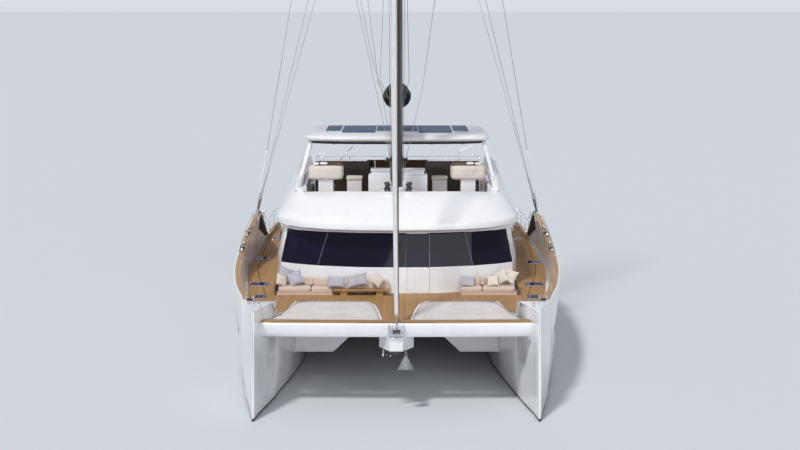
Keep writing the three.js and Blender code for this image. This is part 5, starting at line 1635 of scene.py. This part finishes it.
class CATAMARAN_OT_exterior(bpy.types.Operator):
    """Adds the hull windows, guardrails, cap fittings, stern gear, treads and the anchor"""

    bl_idname = "catamaran.exterior"
    bl_label = "Exterior fittings"

    def execute(self, context):
        tube = context.scene.catamaran_sizes.rail

        # The long dark hull windows lie on the topsides, and end in quarter rounds
        windows = []
        round_length, climb = 0.55, 0.02
        for start, end, low, high in ((-7.4, -1.0, 1.55, 2.15), (-0.6, 5.9, 1.5, 2.1)):
            ys = np.linspace(start, end, 36)[:, None]
            s = np.linspace(0, 1, 6)[None, :]
            ends = np.minimum(1, np.minimum(ys - start, end - ys) / round_length)
            half = (high - low) / 2 * np.sqrt(np.clip(ends * (2 - ends), 0.02, 1))
            z = (low + high) / 2 + half * (2 * s - 1) + climb * (ys + 7.4)
            origins = np.stack(np.broadcast_arrays(8.0, ys, z), -1)
            hits = probe(["hull_port"], origins.reshape(-1, 3), (-1, 0, 0)).reshape(*z.shape, 3)
            windows.append(laid(hits, (1, 0, 0), 0.004, 0.02))
        piece("hull_windows", both_sides(windows), "glass")

        # A low steel rail stands on the cap beside the shrouds, and a taller one runs aft to the stern
        ys = np.linspace(-3.9, -0.25, 24)
        rails = guardrail(on_cap(ys, 0.26, 0.03), on_cap(ys, 0.0, 0.03), tube * 0.8, 0)
        ys = np.linspace(3.3, 8.95, 30)
        level = on_cap(ys, 0.62)
        level[:, 2] = np.maximum(level[:, 2], 3.62)
        rails += guardrail(level, on_cap(ys), tube, 2)
        piece("guardrails", both_sides(rails), "steel")
        fittings = []
        bollard = [(0, 0), (0.05, 0), (0.05, 0.045), (0.02, 0.06), (0, 0.06)]
        for base in on_cap(np.array([-2.9, -2.2, -1.5, -0.85])):
            low, high = base + (-0.07, -0.12, -0.005), base + (0.07, 0.12, 0.075)
            fittings.append(pillowed(low, high, 5, 0.3, 8, 16))
            fittings.append(turned(bollard, base + (0, 0, 0.06), "z", 14))
        piece("cap_fittings", both_sides(fittings), "steel")
        bases = on_cap(np.array([-2.55, -1.2]))
        pads = [block(base + (-0.09, -0.16, -0.01), base + (0.09, 0.16, 0.02)) for base in bases]
        faceted("cap_pads", both_sides(pads), "black", 0.006)

        # Rails round the low part of the flybridge, each stanchion on the moulding's top
        rail_z, foot_z = 6.08, 5.88
        ys, xs = np.linspace(4.9, 8.8, 12), np.linspace(-3.8, 3.8, 20)
        rails = []
        stern = (columns(xs, 8.88), rail_z - 0.04)
        for plan, z in ((columns(4.0, ys), rail_z), (columns(-3.98, ys), rail_z), stern):
            tops = np.array([top_of(["flybridge"], x, y) for x, y in plan])
            tops = np.where(np.isfinite(tops), tops, foot_z) - 0.005
            rails += guardrail(columns(*plan.T, z), columns(*plan.T, tops), tube, 0)
        piece("flybridge_rails", rails, "steel")

        # Teak on the transom steps and on the stair's treads
        pads = []
        run, rise, steps = 0.4, 0.4, 5
        for step in range(steps):
            y, z = 9.6 + run * step, 2.42 - rise * step
            depth = 0.34 if step < steps - 1 else 0.72
            pads.append(block((3.92, y + 0.03, z - 0.002), (5.1, y + depth, z + 0.012)))
        faceted("transom_teak", both_sides(pads), "teak_cross")
        (x0, front, _), (x1, back, _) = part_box("fly_stair")
        treads, steps = [], 9
        for k in range(steps):
            y = front + (back - front) * (k + 0.5) / steps
            top = top_of(["fly_stair"], (x0 + x1) / 2, y)
            if np.isfinite(top):
                treads.append(block((x0 + 0.06, y - 0.12, top - 0.004), (x1 - 0.06, y + 0.12, top + 0.014)))
        faceted("stair_treads", treads, "teak_cross")

        gear = []
        for x, y in ((5.42, 9.2), (3.62, 9.2), (5.3, 11.6)):
            z = top_of(["hull_port", "bulwark_port", "cap_rail_port"], x, y)
            if np.isfinite(z):
                gear += cleat((x, y, z), 0.34)
        for x in (4.02, 4.98):
            gear.append(swept([(x, 11.9, 0.83), (x, 11.93, 1.1), (x, 11.8, 1.35), (x, 11.5, 1.42)], tube))
        piece("stern_steel", both_sides(gear), "steel")

        anchor = piece("plough_anchor", plough((0.3, -11.08, 1.9)), "galvanised", round_edges=0.003)
        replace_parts(anchor, "anchor")
        return {"FINISHED"}


class CATAMARAN_PT_panel(bpy.types.Panel):
    """Lists the operators and their sizes"""

    bl_idname = "CATAMARAN_PT_panel"
    bl_label = "Catamaran"
    bl_space_type = "VIEW_3D"
    bl_region_type = "UI"
    bl_category = "Catamaran"

    def draw(self, context):
        for group in (context.scene.catamaran_sizes, context.scene.catamaran_stage):
            box = self.layout.box()
            for key in group.__annotations__:
                box.prop(group, key)
        for operator in OPERATORS:
            self.layout.operator(operator.bl_idname)


OPERATORS = (
    CATAMARAN_OT_stage,
    CATAMARAN_OT_finishes,
    CATAMARAN_OT_mouldings,
    CATAMARAN_OT_rest,
    CATAMARAN_OT_decks,
    CATAMARAN_OT_lounge,
    CATAMARAN_OT_glazing,
    CATAMARAN_OT_helm,
    CATAMARAN_OT_bow,
    CATAMARAN_OT_rigging,
    CATAMARAN_OT_exterior,
)
CLASSES = (CATAMARAN_PG_sizes, CATAMARAN_PG_stage, *OPERATORS, CATAMARAN_PT_panel)


def register():
    for cls in CLASSES:
        bpy.utils.register_class(cls)
    bpy.types.Scene.catamaran_sizes = PointerProperty(type=CATAMARAN_PG_sizes)
    bpy.types.Scene.catamaran_stage = PointerProperty(type=CATAMARAN_PG_stage)


def unregister():
    del bpy.types.Scene.catamaran_stage
    del bpy.types.Scene.catamaran_sizes
    for cls in reversed(CLASSES):
        bpy.utils.unregister_class(cls)


def main():
    """Runs every operator in order."""
    register()
    for operator in OPERATORS:
        group, name = operator.bl_idname.split(".")
        getattr(getattr(bpy.ops, group), name)()


if __name__ == "__main__":
    main()
